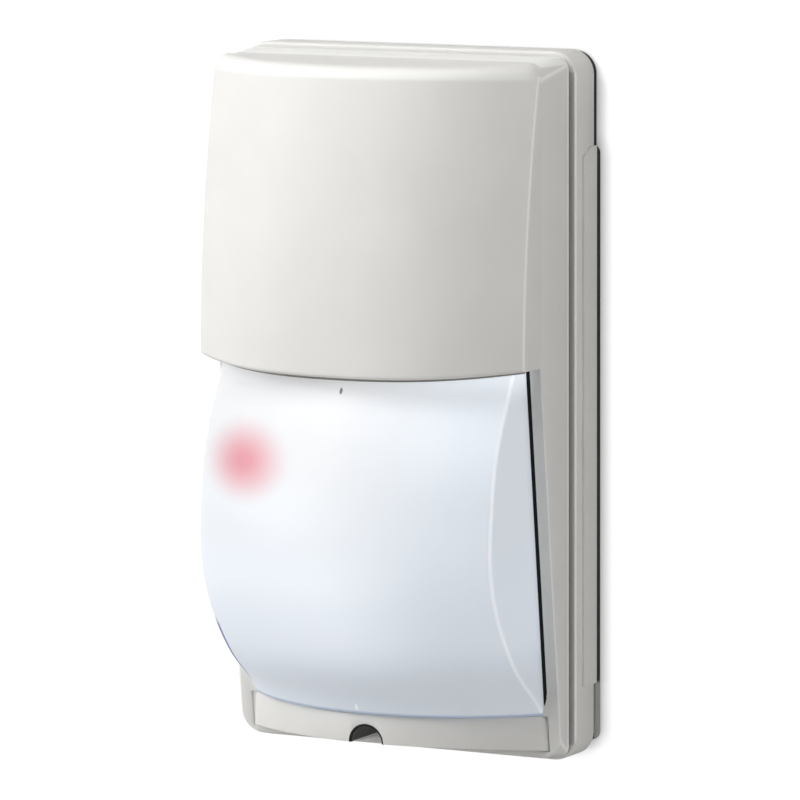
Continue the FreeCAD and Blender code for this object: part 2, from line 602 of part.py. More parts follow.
def outline_xz(half_width, half_height, corner, depth):
    """Rounded rectangle at a depth, as a wire."""
    w, h, r = half_width, half_height, corner
    d = r * (1 - math.sqrt(0.5))
    y = front(depth)
    points = {}
    for sx, sz in ((1, -1), (1, 1), (-1, 1), (-1, -1)):
        points[sx, sz] = (V(sx * (w - r), y, sz * h), V(sx * (w - d), y, sz * (h - d)),
                          V(sx * w, y, sz * (h - r)))
    edges = []
    for sx, sz in points:
        a, m, b = points[sx, sz]
        edges.append(Part.Arc(a, m, b).toShape())
    for p, q in (((1, -1), (1, 1)), ((-1, -1), (-1, 1))):
        edges.append(Part.makeLine(points[p][2], points[q][2]))
    for p, q in (((1, 1), (-1, 1)), ((1, -1), (-1, -1))):
        edges.append(Part.makeLine(points[p][0], points[q][0]))
    return Part.Wire(Part.__sortEdges__(edges))


def cover_prism(inset):
    """Upright block with the cover's outline, its corners widening forwards, drawn in by a wall."""
    near = s("cover_back") - inset
    far = s("hood_depth") + 2 * s("hood_sag")
    wires = []
    for depth in (near, far):
        corner = corner_at(max(depth, s("cover_back"))) - inset
        wires.append(outline_xz(s("cover_half_width") - inset, s("cover_half_height") - inset,
                                corner, depth))
    return Part.makeLoft(wires, True, True)


def rim_front(z):
    """Depth of the front rim's plane at a height."""
    return s("rim_depth") + (z + s("cover_half_height")) * math.tan(math.radians(s("rim_slope")))


def side_profile(points, half_width):
    """Solid from a side view of (depth, z) points, as wide as asked."""
    wire = Part.makePolygon([V(-half_width, front(d), z) for d, z in points + points[:1]])
    return Part.Face(wire).extrude(V(2 * half_width, 0, 0))


def tray(inset):
    """The cover's tray, drawn in by a wall's thickness for its hollow."""
    half_width = s("cover_half_width") - inset
    half_height = s("cover_half_height") - inset
    back = s("cover_back") - inset
    bottom = -half_height
    top = half_height
    joint = s("hood_bottom")
    upper = rim_front(joint) - inset
    points = [(back, bottom), (rim_front(bottom) - inset, bottom), (upper, joint),
              (upper, top - s("tray_fall")), (back, top)]
    return side_profile(points, half_width).common(cover_prism(inset))


def hood_side(z):
    """Depth of the hood's side crease at a height."""
    share = (z - s("hood_bottom")) / (s("hood_top") - s("hood_bottom"))
    return s("hood_depth") - s("hood_lean") * max(share, 0.0) ** s("hood_lean_power")


def plan_bulge(x, half_width, power):
    return 1 - (abs(x) / half_width) ** power


def hood_section(z, inset, slack):
    """Plan outline of the hood at a height, run on past its sides, which are planes cut later."""
    half_width = s("cover_half_width")
    reach = half_width + s("cover_wall")
    crease = hood_side(z) - inset - slack
    back = s("cover_back") + s("cover_wall")
    points = []
    for i in range(SECTION_POINTS):
        x = reach * math.sin(math.pi * (i / (SECTION_POINTS - 1) - 0.5))
        bulge = s("hood_sag") * plan_bulge(x, half_width, s("hood_power"))
        points.append(V(x, front(crease + bulge), z))
    curve = Part.BSplineCurve()
    curve.interpolate(points)
    left = V(-reach, front(back), z)
    right = V(reach, front(back), z)
    return Part.Wire([Part.makeLine(left, points[0]), curve.toShape(),
                      Part.makeLine(points[-1], right), Part.makeLine(right, left)])


def hood(inset, low):
    """Hood body with its rounded top edge."""
    top = s("hood_top") - inset
    radius = s("hood_round")
    straight = top - radius
    sections = []
    for i in range(HOOD_SECTIONS):
        z = low + (straight - low) * i / (HOOD_SECTIONS - 1)
        sections.append(hood_section(z, inset, 0.0))
    body = Part.makeLoft(sections, True, False)
    crown = [sections[-1]]
    for i in range(1, ROUND_SECTIONS + 1):
        angle = math.radians(s("hood_round_turn")) * i / ROUND_SECTIONS
        slack = radius * (1 - math.cos(angle))
        crown.append(hood_section(straight + radius * math.sin(angle), inset, slack))
    whole = body.fuse(Part.makeLoft(crown, True, False))
    return whole.common(cover_prism(inset))


def fall_cutter():
    """Wedge that slopes the hood's top down towards its front."""
    start = rim_front(s("hood_bottom"))
    run = s("hood_depth") + s("hood_sag") - start
    slope = s("hood_fall") / run
    points = [(start, s("hood_top")), (REACH, s("hood_top") - slope * (REACH - start)),
              (REACH, REACH), (start, REACH)]
    return side_profile(points, REACH)


def droop_cutter():
    """Space under the hood: level at its sides, lower towards its front."""
    start = s("hood_depth")
    level = s("hood_bottom")
    slope = s("hood_droop") / s("hood_sag")
    points = [(0, -REACH), (REACH, -REACH), (REACH, level - slope * (REACH - start)), (start, level),
              (0, level)]
    return side_profile(points, REACH)


def behind_rim(high):
    """Space behind the front rim, up to a height."""
    edge = rim_front(high)
    return side_profile([(0, -REACH), (edge, -REACH), (edge, high), (0, high)], REACH)


def chin(inset):
    """Convex band below the window."""
    half_width = s("chin_half_width") - inset
    low = -s("chin_bottom") + inset
    high = -s("chin_top") - inset
    sag = s("chin_sag")
    start = rim_front(low) - inset
    back = s("cover_back")
    slope = math.tan(math.radians(s("chin_slope")))
    base = low - slope * start
    points = []
    for i in range(SECTION_POINTS):
        x = half_width * (2 * i / (SECTION_POINTS - 1) - 1)
        points.append(V(x, front(start + sag * plan_bulge(x, half_width, 2)), low - inset - sag))
    curve = Part.BSplineCurve()
    curve.interpolate(points)
    left = V(-half_width, front(back), low - inset - sag)
    right = V(half_width, front(back), low - inset - sag)
    wire = Part.Wire([Part.makeLine(left, points[0]), curve.toShape(),
                      Part.makeLine(points[-1], right), Part.makeLine(right, left)])
    column = Part.Face(wire).extrude(V(0, 0, REACH))
    ahead = start + 2 * sag
    band = [(back, base + slope * back), (ahead, base + slope * ahead), (ahead, high), (back, high)]
    return column.common(side_profile(band, REACH))


def lens_radius(crease):
    """Radius about the lens's upright axis of a point on its side crease."""
    return math.hypot(crease + s("lens_axis"), s("lens_half_width"))


def lens_foot():
    """Height of the lens's lower edge."""
    return -s("chin_top") + s("lens_gap")


def lens_round(inset):
    """Solid of revolution of the lens window's side view."""
    axis_y = front(-s("lens_axis"))
    foot = lens_foot()
    height = s("lens_top") - foot
    lens_points = []
    for share, proud in LENS_SIDE:
        radius = lens_radius(s("rim_depth") + proud) - inset
        lens_points.append(V(0, axis_y - radius, foot + share * height))
    curve = Part.BSplineCurve()
    curve.interpolate(lens_points)
    high = V(0, axis_y, s("lens_top"))
    low = V(0, axis_y, foot)
    wire = Part.Wire([Part.makeLine(high, lens_points[0]), curve.toShape(),
                      Part.makeLine(lens_points[-1], low), Part.makeLine(low, high)])
    return Part.Face(wire).revolve(V(0, axis_y, 0), V(0, 0, 1), 360)


def slab(depth_offset, thick, half_width, low, high):
    """Plate parallel to the rim, its front face a given distance behind the rim's."""
    front_low = rim_front(low) - depth_offset
    front_high = rim_front(high) - depth_offset
    points = [(front_low - thick, low), (front_low, low), (front_high, high), (front_high - thick, high)]
    return side_profile(points, half_width)


def lens_block(inset):
    """Box that the lens fills, from its flange to its front."""
    half_width = s("lens_half_width") - inset
    low = lens_foot() + inset
    high = s("lens_top") - inset
    behind = s("cover_wall") + s("flange_thick")
    points = [(rim_front(low) - behind, low), (REACH, low), (REACH, high),
              (rim_front(high) - behind, high)]
    return side_profile(points, half_width)


def lens_window():
    """Translucent window: bulging skin, flat sides and a flange behind the rim."""
    outer = lens_round(0).common(lens_block(0))
    hollow = lens_round(s("lens_wall")).common(lens_block(s("lens_wall")))
    low = lens_foot()
    high = s("hood_bottom")
    behind = s("cover_wall") + s("flange_thick")
    back = slab(behind, REACH, REACH, low, s("lens_top"))
    flange = slab(s("cover_wall"), s("flange_thick"), s("lens_half_width") + s("flange_width"), low, high)
    mouth_half = s("lens_half_width") - s("lens_wall")
    mouth = slab(s("cover_wall") / 2, s("cover_wall") + s("flange_thick"), mouth_half,
                 low + s("lens_wall"), high + s("lens_wall"))
    return outer.cut(hollow).cut(back).fuse(flange.cut(mouth)).removeSplitter()


def front_cover():
    """One moulding: tray, hood, shelf, chin, screw wall and the tamper rib."""
    joint = s("hood_bottom")
    droop = s("hood_droop")
    visor = hood(0, joint - droop).cut(fall_cutter()).cut(droop_cutter())
    outer = tray(0).fuse(visor).fuse(chin(0))
    wall = s("cover_wall")
    inner_hood = hood(wall, joint - droop - wall).cut(fall_cutter().translated(V(0, 0, -wall)))
    inner_hood = inner_hood.cut(behind_rim(joint))
    behind = s("base_depth")
    hollow = tray(wall).fuse(inner_hood).fuse(chin(wall))
    shell = outer.cut(hollow)

    window = side_profile([(behind, -s("chin_top")), (REACH, -s("chin_top")), (REACH, joint),
                           (behind, joint)], s("window_half_width"))
    shell = shell.cut(window.cut(chin(0)))

    shelf_low = joint + s("shelf_rise")
    band = side_profile([(rim_front(joint), shelf_low), (REACH, shelf_low),
                         (REACH, shelf_low + s("shelf_thick")),
                         (rim_front(joint), shelf_low + s("shelf_thick"))], REACH)
    shelf = hood(wall / 2, joint - wall).common(band)
    lens_way = lens_round(-s("lens_gap"))
    gap_box = Part.makeBox(2 * s("window_half_width"), REACH, REACH,
                           V(-s("window_half_width"), front(REACH), -s("chin_top")))
    shell = shell.fuse(shelf.cut(lens_way.common(gap_box)))

    notch_z = -s("notch_centre")
    tunnel_wall = s("cover_wall") / 2
    notch_end = front(s("notch_depth"))
    tube = Part.makeCylinder(s("notch_radius") + tunnel_wall, REACH, V(0, notch_end + wall, notch_z),
                             V(0, -1, 0))
    bore = Part.makeCylinder(s("notch_radius"), REACH, V(0, notch_end, notch_z), V(0, -1, 0))
    shell = shell.fuse(tube.common(chin(0))).cut(bore)
    hole = Part.makeCylinder(s("cover_screw_shank") + s("screw_play"), REACH,
                             V(0, notch_end + REACH / 2, -s("cover_screw_height")), V(0, -1, 0))
    shell = shell.cut(hole)

    tip = s("tamper_tip")
    x = s("tamper_x")
    z = s("tamper_height")
    rib_half = s("tamper_rib")
    rib = Part.makeBox(s("cover_half_width") - wall / 2 - (x - rib_half), 2 * rib_half, 2 * rib_half,
                       V(x - rib_half, front(tip + 2 * rib_half), z - rib_half))
    return shell.fuse(rib).removeSplitter()


def shape_node(label, shape):
    """Sub-part whose shape is worked out above."""
    obj = doc.addObject("Part::Feature", label)
    obj.Shape = shape
    obj.Placement = FreeCAD.Placement(V(0, 0, 0), FreeCAD.Rotation())
    return keep(label, obj)


# Fasteners and grommet


def screw(name, x, z, shank, head, tip, seat, head_thick):
    """Slotted pan-head screw along Y: shank from its tip to its seat."""
    body = rod(name + "_shank", shank, x, z, tip, seat)
    top = rod(name + "_head", head, x, z, seat, "(%s) + (%s)" % (seat, head_thick))
    slot = box(name + "_slot", "(%s) - (%s)" % (x, head), "(%s) + (%s)" % (x, head),
               "(%s) + (%s) / 2" % (seat, head_thick), "(%s) + 2 * (%s)" % (seat, head_thick),
               "%s - Sizes.screw_slot_half" % z, "%s + Sizes.screw_slot_half" % z)
    return cut(name, fuse(name + "_whole", body, top), slot)


def compound(label, pieces):
    """Identical pieces that share a node, as separate solids."""
    obj = doc.addObject("Part::Compound", label)
    obj.Links = pieces
    return keep(label, obj)


def fasteners():
    cover = screw("cover_screw_body", "0", "-Sizes.cover_screw_height", "Sizes.cover_screw_shank",
                  "Sizes.cover_screw_head", "Sizes.case_wall + Sizes.screw_tip_gap", "Sizes.notch_depth",
                  "Sizes.plate_head_thick")
    keep("cover_screw", cover)
    board = []
    for tag, x_sign, z_sign in CORNERS:
        x = "%d * Sizes.board_hole_x" % x_sign
        z = "%d * %s" % (z_sign, board_hole_height(z_sign))
        board.append(screw("board_" + tag, x, z, "Sizes.board_screw", "Sizes.board_screw_head",
                           "Sizes.case_wall + Sizes.screw_tip_gap", "Sizes.board_front",
                           "Sizes.board_head_thick"))
    compound("board_screws", board)
    plate = []
    for tag, sign in (("left", -1), ("right", 1)):
        plate.append(screw("case_" + tag, "%d * Sizes.plate_screw_x" % sign,
                           "-Sizes.plate_screw_height", "Sizes.plate_screw", "Sizes.plate_screw_head",
                           "-Sizes.plate_thick", "Sizes.case_wall", "Sizes.plate_head_thick"))
    compound("case_screws", plate)


def cable_grommet():
    """Rubber grommet in the cable entry."""
    z = "-Sizes.cable_height"
    sleeve = rod("grommet_sleeve", "Sizes.grommet_radius", "0", z, "0", "Sizes.case_wall")
    flange = rod("grommet_flange_disc", "Sizes.grommet_flange", "0", z, "Sizes.case_wall",
                 "Sizes.case_wall + Sizes.tongue_thick")
    bore = rod("grommet_hole", "Sizes.grommet_bore", "0", z, "-Sizes.tongue_thick",
               "2 * Sizes.case_wall")
    keep("cable_grommet", cut("grommet", fuse("grommet_whole", sleeve, flange), bore))


# Circuit board and what is soldered to it


def circuit_board():
    body = new_body("circuit_board")
    outline = new_sketch(body, "board_outline", "XZ_Plane", "Sizes.plate_thick + Sizes.board_back")
    add_rounded(outline, "board", "Sizes.board_half_width", "Sizes.board_top", "Sizes.board_bottom",
                "Sizes.board_boss")
    pad(body, "board_pad", outline, "Sizes.board_thick")
    holes = new_sketch(body, "board_holes", "XZ_Plane",
                       "Sizes.plate_thick + Sizes.board_front")
    for tag, x_sign, z_sign in CORNERS:
        add_circle(holes, tag, "Sizes.board_hole_x", board_hole_height(z_sign),
                   "Sizes.board_screw + Sizes.screw_play", x_sign, z_sign)
    pocket(body, "board_hole_cuts", holes, "Sizes.board_thick")


TERMINALS = 6


def mirrored(half):
    """Lower and upper bound about the middle plane, as expressions."""
    return "-(%s)" % half, half


def about(centre, half):
    """Lower and upper bound about a centre, as expressions."""
    return "(%s) - (%s)" % (centre, half), "(%s) + (%s)" % (centre, half)


def terminal_block():
    """Screw terminals for supply and alarm contacts."""
    x0, x1 = mirrored("Sizes.terminal_pitch * %d / 2" % TERMINALS)
    low = "Sizes.terminal_top - Sizes.terminal_height"
    middle = "Sizes.terminal_top - Sizes.terminal_height / 2"
    face = "Sizes.board_front + Sizes.terminal_depth"
    well_floor = "Sizes.board_front + Sizes.terminal_depth / 2"
    radius = "Sizes.terminal_screw"
    play = "Sizes.terminal_play"
    block = box("terminal_body", x0, x1, "Sizes.board_front", face, low, "Sizes.terminal_top")
    wells = []
    screws = []
    for i in range(TERMINALS):
        x = "(%d - %d / 2 + 0.5) * Sizes.terminal_pitch" % (i, TERMINALS)
        wells.append(rod("terminal_well_%d" % i, radius + " + " + play, x, middle, well_floor,
                         "%s + %s" % (face, play)))
        mouth0, mouth1 = about(x, radius)
        wells.append(box("terminal_mouth_%d" % i, mouth0, mouth1, "Sizes.board_front + " + play,
                         "%s - %s" % (well_floor, play), "%s - %s" % (low, play), middle))
        screws.append(rod("terminal_screw_%d" % i, radius, x, middle, well_floor,
                          "%s - %s" % (face, play)))
    keep("terminal_block", cut("terminal_cut", block, fuse("terminal_wells", *wells)))
    compound("terminal_screws", screws)


def board_parts():
    """Relay, capacitor and controller chip."""
    floor = "Sizes.board_front"
    x0, x1 = about("-Sizes.power_side", "Sizes.relay_width / 2")
    z0, z1 = about("Sizes.relay_centre", "Sizes.relay_height / 2")
    keep("relay", box("relay_body", x0, x1, floor, floor + " + Sizes.relay_depth", z0, z1))
    keep("capacitor", rod("capacitor_body", "Sizes.capacitor_radius", "Sizes.power_side",
                          "Sizes.capacitor_height", floor, floor + " + Sizes.capacitor_length"))
    x0, x1 = mirrored("Sizes.chip_side / 2")
    z0, z1 = about("Sizes.chip_height", "Sizes.chip_side / 2")
    keep("controller_chip", box("chip_body", x0, x1, floor, floor + " + Sizes.chip_thick", z0, z1))


def tamper_switch():
    """Switch body and the sprung plunger that the closed cover presses."""
    x = "Sizes.tamper_x"
    z = "Sizes.tamper_height"
    floor = "Sizes.board_front + Sizes.tamper_floor"
    x0, x1 = about(x, "Sizes.tamper_half")
    z0, z1 = about(z, "Sizes.tamper_half")
    block = box("tamper_body", x0, x1, "Sizes.board_front", "Sizes.tamper_front", z0, z1)
    guide = rod("tamper_guide", "Sizes.tamper_radius + Sizes.pivot_play", x, z, floor,
                "Sizes.tamper_front + Sizes.tamper_floor")
    chamber = rod("tamper_chamber", "Sizes.tamper_collar + Sizes.pivot_play", x, z, floor,
                  "Sizes.tamper_front - Sizes.tamper_ceiling")
    keep("tamper_switch", cut("tamper_cut", block, fuse("tamper_space", guide, chamber)))
    foot = floor + " + 2 * Sizes.tamper_travel"
    stem = rod("tamper_stem", "Sizes.tamper_radius", x, z, foot, "Sizes.tamper_tip")
    collar = rod("tamper_collar_disc", "Sizes.tamper_collar", x, z, foot,
                 foot + " + Sizes.tamper_collar_thick")
    keep("tamper_plunger", fuse("tamper_pin", stem, collar))


def trimmer():
    """Sensitivity trimmer: a square body and a slotted knob on a stem."""
    x = "Sizes.trimmer_x"
    z = "Sizes.control_height"
    floor = "Sizes.board_front + Sizes.tamper_floor"
    x0, x1 = about(x, "Sizes.trimmer_half")
    z0, z1 = about(z, "Sizes.trimmer_half")
    block = box("trimmer_block", x0, x1, "Sizes.board_front", "Sizes.trimmer_front", z0, z1)
    hole = rod("trimmer_hole", "Sizes.trimmer_stem + Sizes.pivot_play", x, z, floor,
               "Sizes.trimmer_front + Sizes.trimmer_knob")
    keep("trimmer_body", cut("trimmer_cut", block, hole))
    under = "Sizes.trimmer_front + Sizes.trimmer_gap"
    top = under + " + Sizes.trimmer_knob_thick"
    stem = rod("trimmer_stem_rod", "Sizes.trimmer_stem", x, z, floor + " + Sizes.trimmer_gap",
               under + " + Sizes.trimmer_knob_thick / 2")
    disc = rod("trimmer_disc", "Sizes.trimmer_knob", x, z, under, top)
    x0, x1 = about(x, "Sizes.trimmer_knob")
    z0, z1 = about(z, "Sizes.trimmer_slot_half")
    slot = box("trimmer_slot", x0, x1, top + " - Sizes.trimmer_slot", top + " + Sizes.trimmer_slot", z0, z1)
    keep("trimmer_knob", cut("knob_cut", fuse("knob_whole", stem, disc), slot))


def mode_switch():
    """Slide switch: open channel with a sliding nub."""
    x = "-Sizes.switch_x"
    z = "Sizes.control_height"
    travel = "Sizes.switch_travel"
    half = "Sizes.slider_half"
    gap = "Sizes.slider_gap"
    high = "Sizes.slider_half_high"
    top = "Sizes.board_front + Sizes.switch_front"
    channel_floor = "Sizes.board_front + Sizes.tamper_floor"
    z0, z1 = about(z, high + " + " + gap + " + Sizes.switch_side")
    block = box("switch_block", "%s - %s - Sizes.switch_wall" % (x, half),
                "%s + %s + %s + Sizes.switch_wall" % (x, half, travel), "Sizes.board_front", top, z0, z1)
    z0, z1 = about(z, high + " + " + gap)
    channel = box("switch_channel", "%s - %s" % (x, half), "%s + %s + %s" % (x, half, travel),
                  channel_floor, top + " + Sizes.slider_proud", z0, z1)
    keep("mode_switch", cut("switch_cut", block, channel))
    x0, x1 = about(x, half)
    z0, z1 = about(z, high)
    keep("mode_slider", box("slider_block", x0, x1, channel_floor + " + " + gap,
                            top + " + Sizes.slider_proud", z0, z1))


def alarm_light():
    """Light-emitting diode and the clear pipe that carries its light to the window."""
    x = "-Sizes.led_x"
    z = "-Sizes.led_height"
    floor = "Sizes.board_front"
    keep("alarm_light", rod("light_body", "Sizes.led_radius", x, z, floor, "Sizes.led_front"))
    pipe = rod("pipe_rod", "Sizes.pipe_radius", x, z, "Sizes.led_front", "Sizes.pipe_front")
    foot = rod("pipe_foot_ring", "Sizes.pipe_radius + Sizes.pipe_foot", x, z, floor,
               "Sizes.led_front + Sizes.pipe_foot")
    well = rod("pipe_well", "Sizes.led_radius + Sizes.pivot_play", x, z, floor, "Sizes.led_front")
    keep("light_pipe", cut("pipe_cut", fuse("pipe_whole", pipe, foot), well))


# Detector head


def head_bracket():
    """Bracket on the board with two arms that hold the head's pivot pins."""
    half = "Sizes.arm_half_width"
    low = "-Sizes.head_bottom - Sizes.arm_gap - Sizes.arm_thick"
    high = "Sizes.head_top + Sizes.arm_gap + Sizes.arm_thick"
    back = box("bracket_plate", "-" + half, half, "Sizes.board_front",
               "Sizes.board_front + Sizes.bracket_back", low, high)
    reach = "Sizes.head_axis + Sizes.arm_half_width"
    arms = []
    for tag, z0, z1 in (("upper", "(%s) - Sizes.arm_thick" % high, high),
                        ("lower", low, "(%s) + Sizes.arm_thick" % low)):
        arms.append(box("arm_" + tag, "-" + half, half, "Sizes.board_front", reach, z0, z1))
    hole = post("pivot_hole", "Sizes.pivot_radius + Sizes.pivot_play", "0", "Sizes.head_axis",
                "(%s) - Sizes.arm_thick" % low, "(%s) + Sizes.arm_thick" % high)
    keep("head_bracket", cut("bracket_cut", fuse("bracket_whole", back, *arms), hole))


def detector_head():
    """Head that the installer turns sideways, with the two sensors on its flat front."""
    low = "-Sizes.head_bottom"
    high = "Sizes.head_top"
    drum = post("head_drum", "Sizes.head_radius", "0", "Sizes.head_axis", low, high)
    flat = box("head_flat", "-2 * Sizes.head_radius", "2 * Sizes.head_radius",
               "Sizes.head_axis + Sizes.head_face", "Sizes.head_axis + 2 * Sizes.head_radius",
               "(%s) - Sizes.arm_gap" % low, "(%s) + Sizes.arm_gap" % high)
    pin = post("head_pin", "Sizes.pivot_radius", "0", "Sizes.head_axis",
               "(%s) - Sizes.arm_gap - Sizes.arm_thick" % low,
               "(%s) + Sizes.arm_gap + Sizes.arm_thick" % high)
    keep("detector_head", fuse("head_whole", cut("head_cut", drum, flat), pin))
    seat = "Sizes.head_axis + Sizes.head_face"
    for tag in ("upper", "lower"):
        can = rod("sensor_can_" + tag, "Sizes.sensor_radius", "0", "-Sizes.sensor_" + tag, seat,
                  seat + " + Sizes.sensor_length")
        rim = rod("sensor_rim_" + tag, "Sizes.sensor_radius + Sizes.sensor_rim", "0",
                  "-Sizes.sensor_" + tag, seat, seat + " + Sizes.sensor_rim_thick")
        keep("sensor_" + tag, fuse("sensor_whole_" + tag, can, rim))


back_plate()
rear_case()
case_gasket()
shape_node("front_cover", front_cover())
shape_node("lens_window", lens_window())
fasteners()
cable_grommet()
circuit_board()
terminal_block()
board_parts()
tamper_switch()
trimmer()
mode_switch()
alarm_light()
head_bracket()
detector_head()
doc.recompute()

for obj in doc.Objects:
    if "Invalid" in obj.State or "Error" in obj.State:
        raise RuntimeError("%s failed: %s" % (obj.Label, obj.State))
os.makedirs("parts", exist_ok=True)
for node in nodes:
    shape = node.Shape
    if shape.isNull() or not shape.isValid():
        raise RuntimeError(node.Label + " has no valid shape")
for node in nodes:
    node.Shape.exportStep("parts/%s.step" % node.Label)
    bounds = node.Shape.BoundBox
    print("%-16s solids %d volume %9.1f  x %7.2f %7.2f  y %7.2f %7.2f  z %7.2f %7.2f" % (
        node.Label, len(node.Shape.Solids), node.Shape.Volume, bounds.XMin, bounds.XMax, bounds.YMin,
        bounds.YMax, bounds.ZMin, bounds.ZMax))
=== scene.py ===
"""Outdoor motion detector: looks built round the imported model.

Row frame in metres: X to the right seen from the front, the front faces -Y, Z up, and the
origin lies on the wall plane midway between the wall screws. Shapes are worked out in
millimetres with depth measured forwards from the joint between back plate and case.
"""
import math

import bmesh
import bpy
import numpy as np
from mathutils import Matrix, Vector


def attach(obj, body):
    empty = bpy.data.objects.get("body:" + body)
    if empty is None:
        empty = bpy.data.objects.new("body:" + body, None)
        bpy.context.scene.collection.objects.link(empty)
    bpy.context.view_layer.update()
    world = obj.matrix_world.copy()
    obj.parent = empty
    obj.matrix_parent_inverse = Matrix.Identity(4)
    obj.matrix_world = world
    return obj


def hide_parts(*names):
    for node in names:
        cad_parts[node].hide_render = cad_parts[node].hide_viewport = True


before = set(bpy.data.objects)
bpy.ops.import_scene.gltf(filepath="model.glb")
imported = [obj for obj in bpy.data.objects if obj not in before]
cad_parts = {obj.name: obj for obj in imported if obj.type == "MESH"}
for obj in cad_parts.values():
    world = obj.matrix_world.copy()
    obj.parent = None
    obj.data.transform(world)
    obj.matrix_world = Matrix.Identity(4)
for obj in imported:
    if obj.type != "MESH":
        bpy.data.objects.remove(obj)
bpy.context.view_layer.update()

# Back plate and rear case

PLATE = 2.6
CASE_HALF_WIDTH = 58.5
CASE_HALF_HEIGHT = 110.7
CASE_CORNER = 7.6
CASE_DEPTH = 13.0
CASE_WALL = 3.0
CASE_LIP_Y = -(PLATE + CASE_DEPTH)
PAD_LOW = -87.6
PAD_HIGH = 81.0
PAD_DEPTH = 8.7
PAD_CORNER = 5.5
PAD_PROUD = 0.95

# Cover: outline, seam, rim and window opening

HALF_WIDTH = 57.0
HALF_HEIGHT = 109.2
COVER_BACK = 14.5
SEAM_Y = -(PLATE + COVER_BACK)
TOP_CORNER = 4.0
TOP_CORNER_GROWTH = 0.16
LOW_CORNER = 3.5
LOW_CORNER_GROWTH = 4.0
TRAY_FALL = 0.9
RIM_LOW = 19.3
RIM_SLOPE = math.tan(math.radians(6.55))
WINDOW_HALF = 52.7
WINDOW_CORNER = 7.0

# Chin and the screwdriver notch in it

CHIN_TOP = -95.6
CHIN_LOW = -106.7
CHIN_RISE = math.tan(math.radians(4.7))
CHIN_SAG = 23.0
CHIN_HALF = 52.1
NOTCH_RADIUS = 6.1
NOTCH_HEIGHT = -104.9
NOTCH_END = 24.05

# Hood

HOOD_LOW = 15.0
HOOD_DROOP = 2.6
HOOD_TOP = 108.3
HOOD_FALL = 1.5
HOOD_FALL_FROM = 60.0
HOOD_SIDE = 44.8
HOOD_LEAN = 11.0
HOOD_LEAN_POWER = 1.9
HOOD_SAG = 21.0
HOOD_POWER = 2.6
SIDE_ROUND = 0.75
TOP_ROUND = 3.6
LIP_ROUND = 1.0

# Window, with its side crease as shares of its height and depths in front of the rim's lowest point

LENS_HALF = 51.3
LENS_AXIS = -24.5
LENS_TOP = 22.0
LENS_FOOT = -95.3
LENS_ROUND = 1.2
LENS_SHARE = np.array([0.0, 0.045, 0.1, 0.165, 0.301, 0.429, 0.557, 0.736, 0.906, 1.0])
LENS_PROUD = np.array([1.2, 6.3, 14.6, 22.2, 32.6, 36.9, 36.3, 32.0, 22.2, 17.0])

# Stage, in metres

FLOOR_LEVEL = -0.4
WALL_Y = 0.0008
STAGE_HALF = 3.0
LIT_SHARE = 0.08
PAPER_WHITE = 0.98
LAMP_TARGET = (0, -0.03, 0)
WORLD_LIGHT = 0.03

# Finish of the added meshes: sharp from this angle on, points merged within this distance in metres

SHARP_ANGLE = math.radians(35.0)
MERGE_WITHIN = 1e-6

# Photograph: its side and the place of the back plate's front face on the Y axis, in pixels

IMAGE_SIZE = 800.0
ANCHOR_X = 428.0
ANCHOR_Y = 394.36
PIXELS_PER_MM = 3.17


def mm(value):
    """Millimetres, or an array of them, in metres."""
    return value / 1000.0


def to_row(x, depth, z):
    """Row frame, metres: x, minus plate thickness and depth, z."""
    x, depth, z = np.broadcast_arrays(x, depth, z)
    return mm(np.stack([x, -(PLATE + depth), z], -1))


def rim_depth(z):
    """Depth of the rim's plane, which rises in a straight line from the cover's bottom."""
    return RIM_LOW + (z + HALF_HEIGHT) * RIM_SLOPE


def grid_faces(rows, columns, closed_rows=False, closed_columns=False):
    """Quads between neighbours of a rows by columns grid, which may close on itself."""
    r = np.arange(rows if closed_rows else rows - 1)
    c = np.arange(columns if closed_columns else columns - 1)
    r, c = np.meshgrid(r, c, indexing="ij")
    r1 = (r + 1) % rows
    c1 = (c + 1) % columns
    quads = np.stack([r * columns + c, r * columns + c1, r1 * columns + c1, r1 * columns + c], -1)
    return quads.reshape(-1, 4)


class Sheets:
    """Collects grids of points into one mesh."""

    def __init__(self):
        self.points = []
        self.faces = []
        self.count = 0

    def grid(self, points, closed_rows=False, closed_columns=False):
        rows, columns = points.shape[:2]
        faces = grid_faces(rows, columns, closed_rows, closed_columns)
        self.points.append(points.reshape(-1, 3))
        self.faces.append(faces + self.count)
        self.count += rows * columns

    def piece(self, name, slot, material):
        points = np.concatenate(self.points)
        faces = np.concatenate(self.faces)
        mesh = bpy.data.meshes.new(name)
        mesh.from_pydata(points, [], faces)
        mesh.update()
        return finish_piece(name, mesh, material)


def finish_piece(name, mesh, material):
    """Merges doubles, turns faces outwards, marks sharp edges and rides on the case."""
    work = bmesh.new()
    work.from_mesh(mesh)
    bmesh.ops.remove_doubles(work, verts=work.verts, dist=MERGE_WITHIN)
    bmesh.ops.dissolve_degenerate(work, edges=work.edges, dist=MERGE_WITHIN)
    bmesh.ops.recalc_face_normals(work, faces=work.faces)
    work.to_mesh(mesh)
    work.free()
    mesh.polygons.foreach_set("use_smooth", np.ones(len(mesh.polygons), bool))
    mesh.set_sharp_from_angle(angle=SHARP_ANGLE)
    mesh.materials.append(material)
    piece = bpy.data.objects.new(name, mesh)
    bpy.context.scene.collection.objects.link(piece)
    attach(piece, "case")
    return piece


# Heights of the points on the outline's upright sides, with a close pair at the hood's lip

SIDE_LEVELS = np.concatenate([np.linspace(-84, 12, 25), [HOOD_LOW, HOOD_LOW + 0.2], np.linspace(20, 92, 13)])


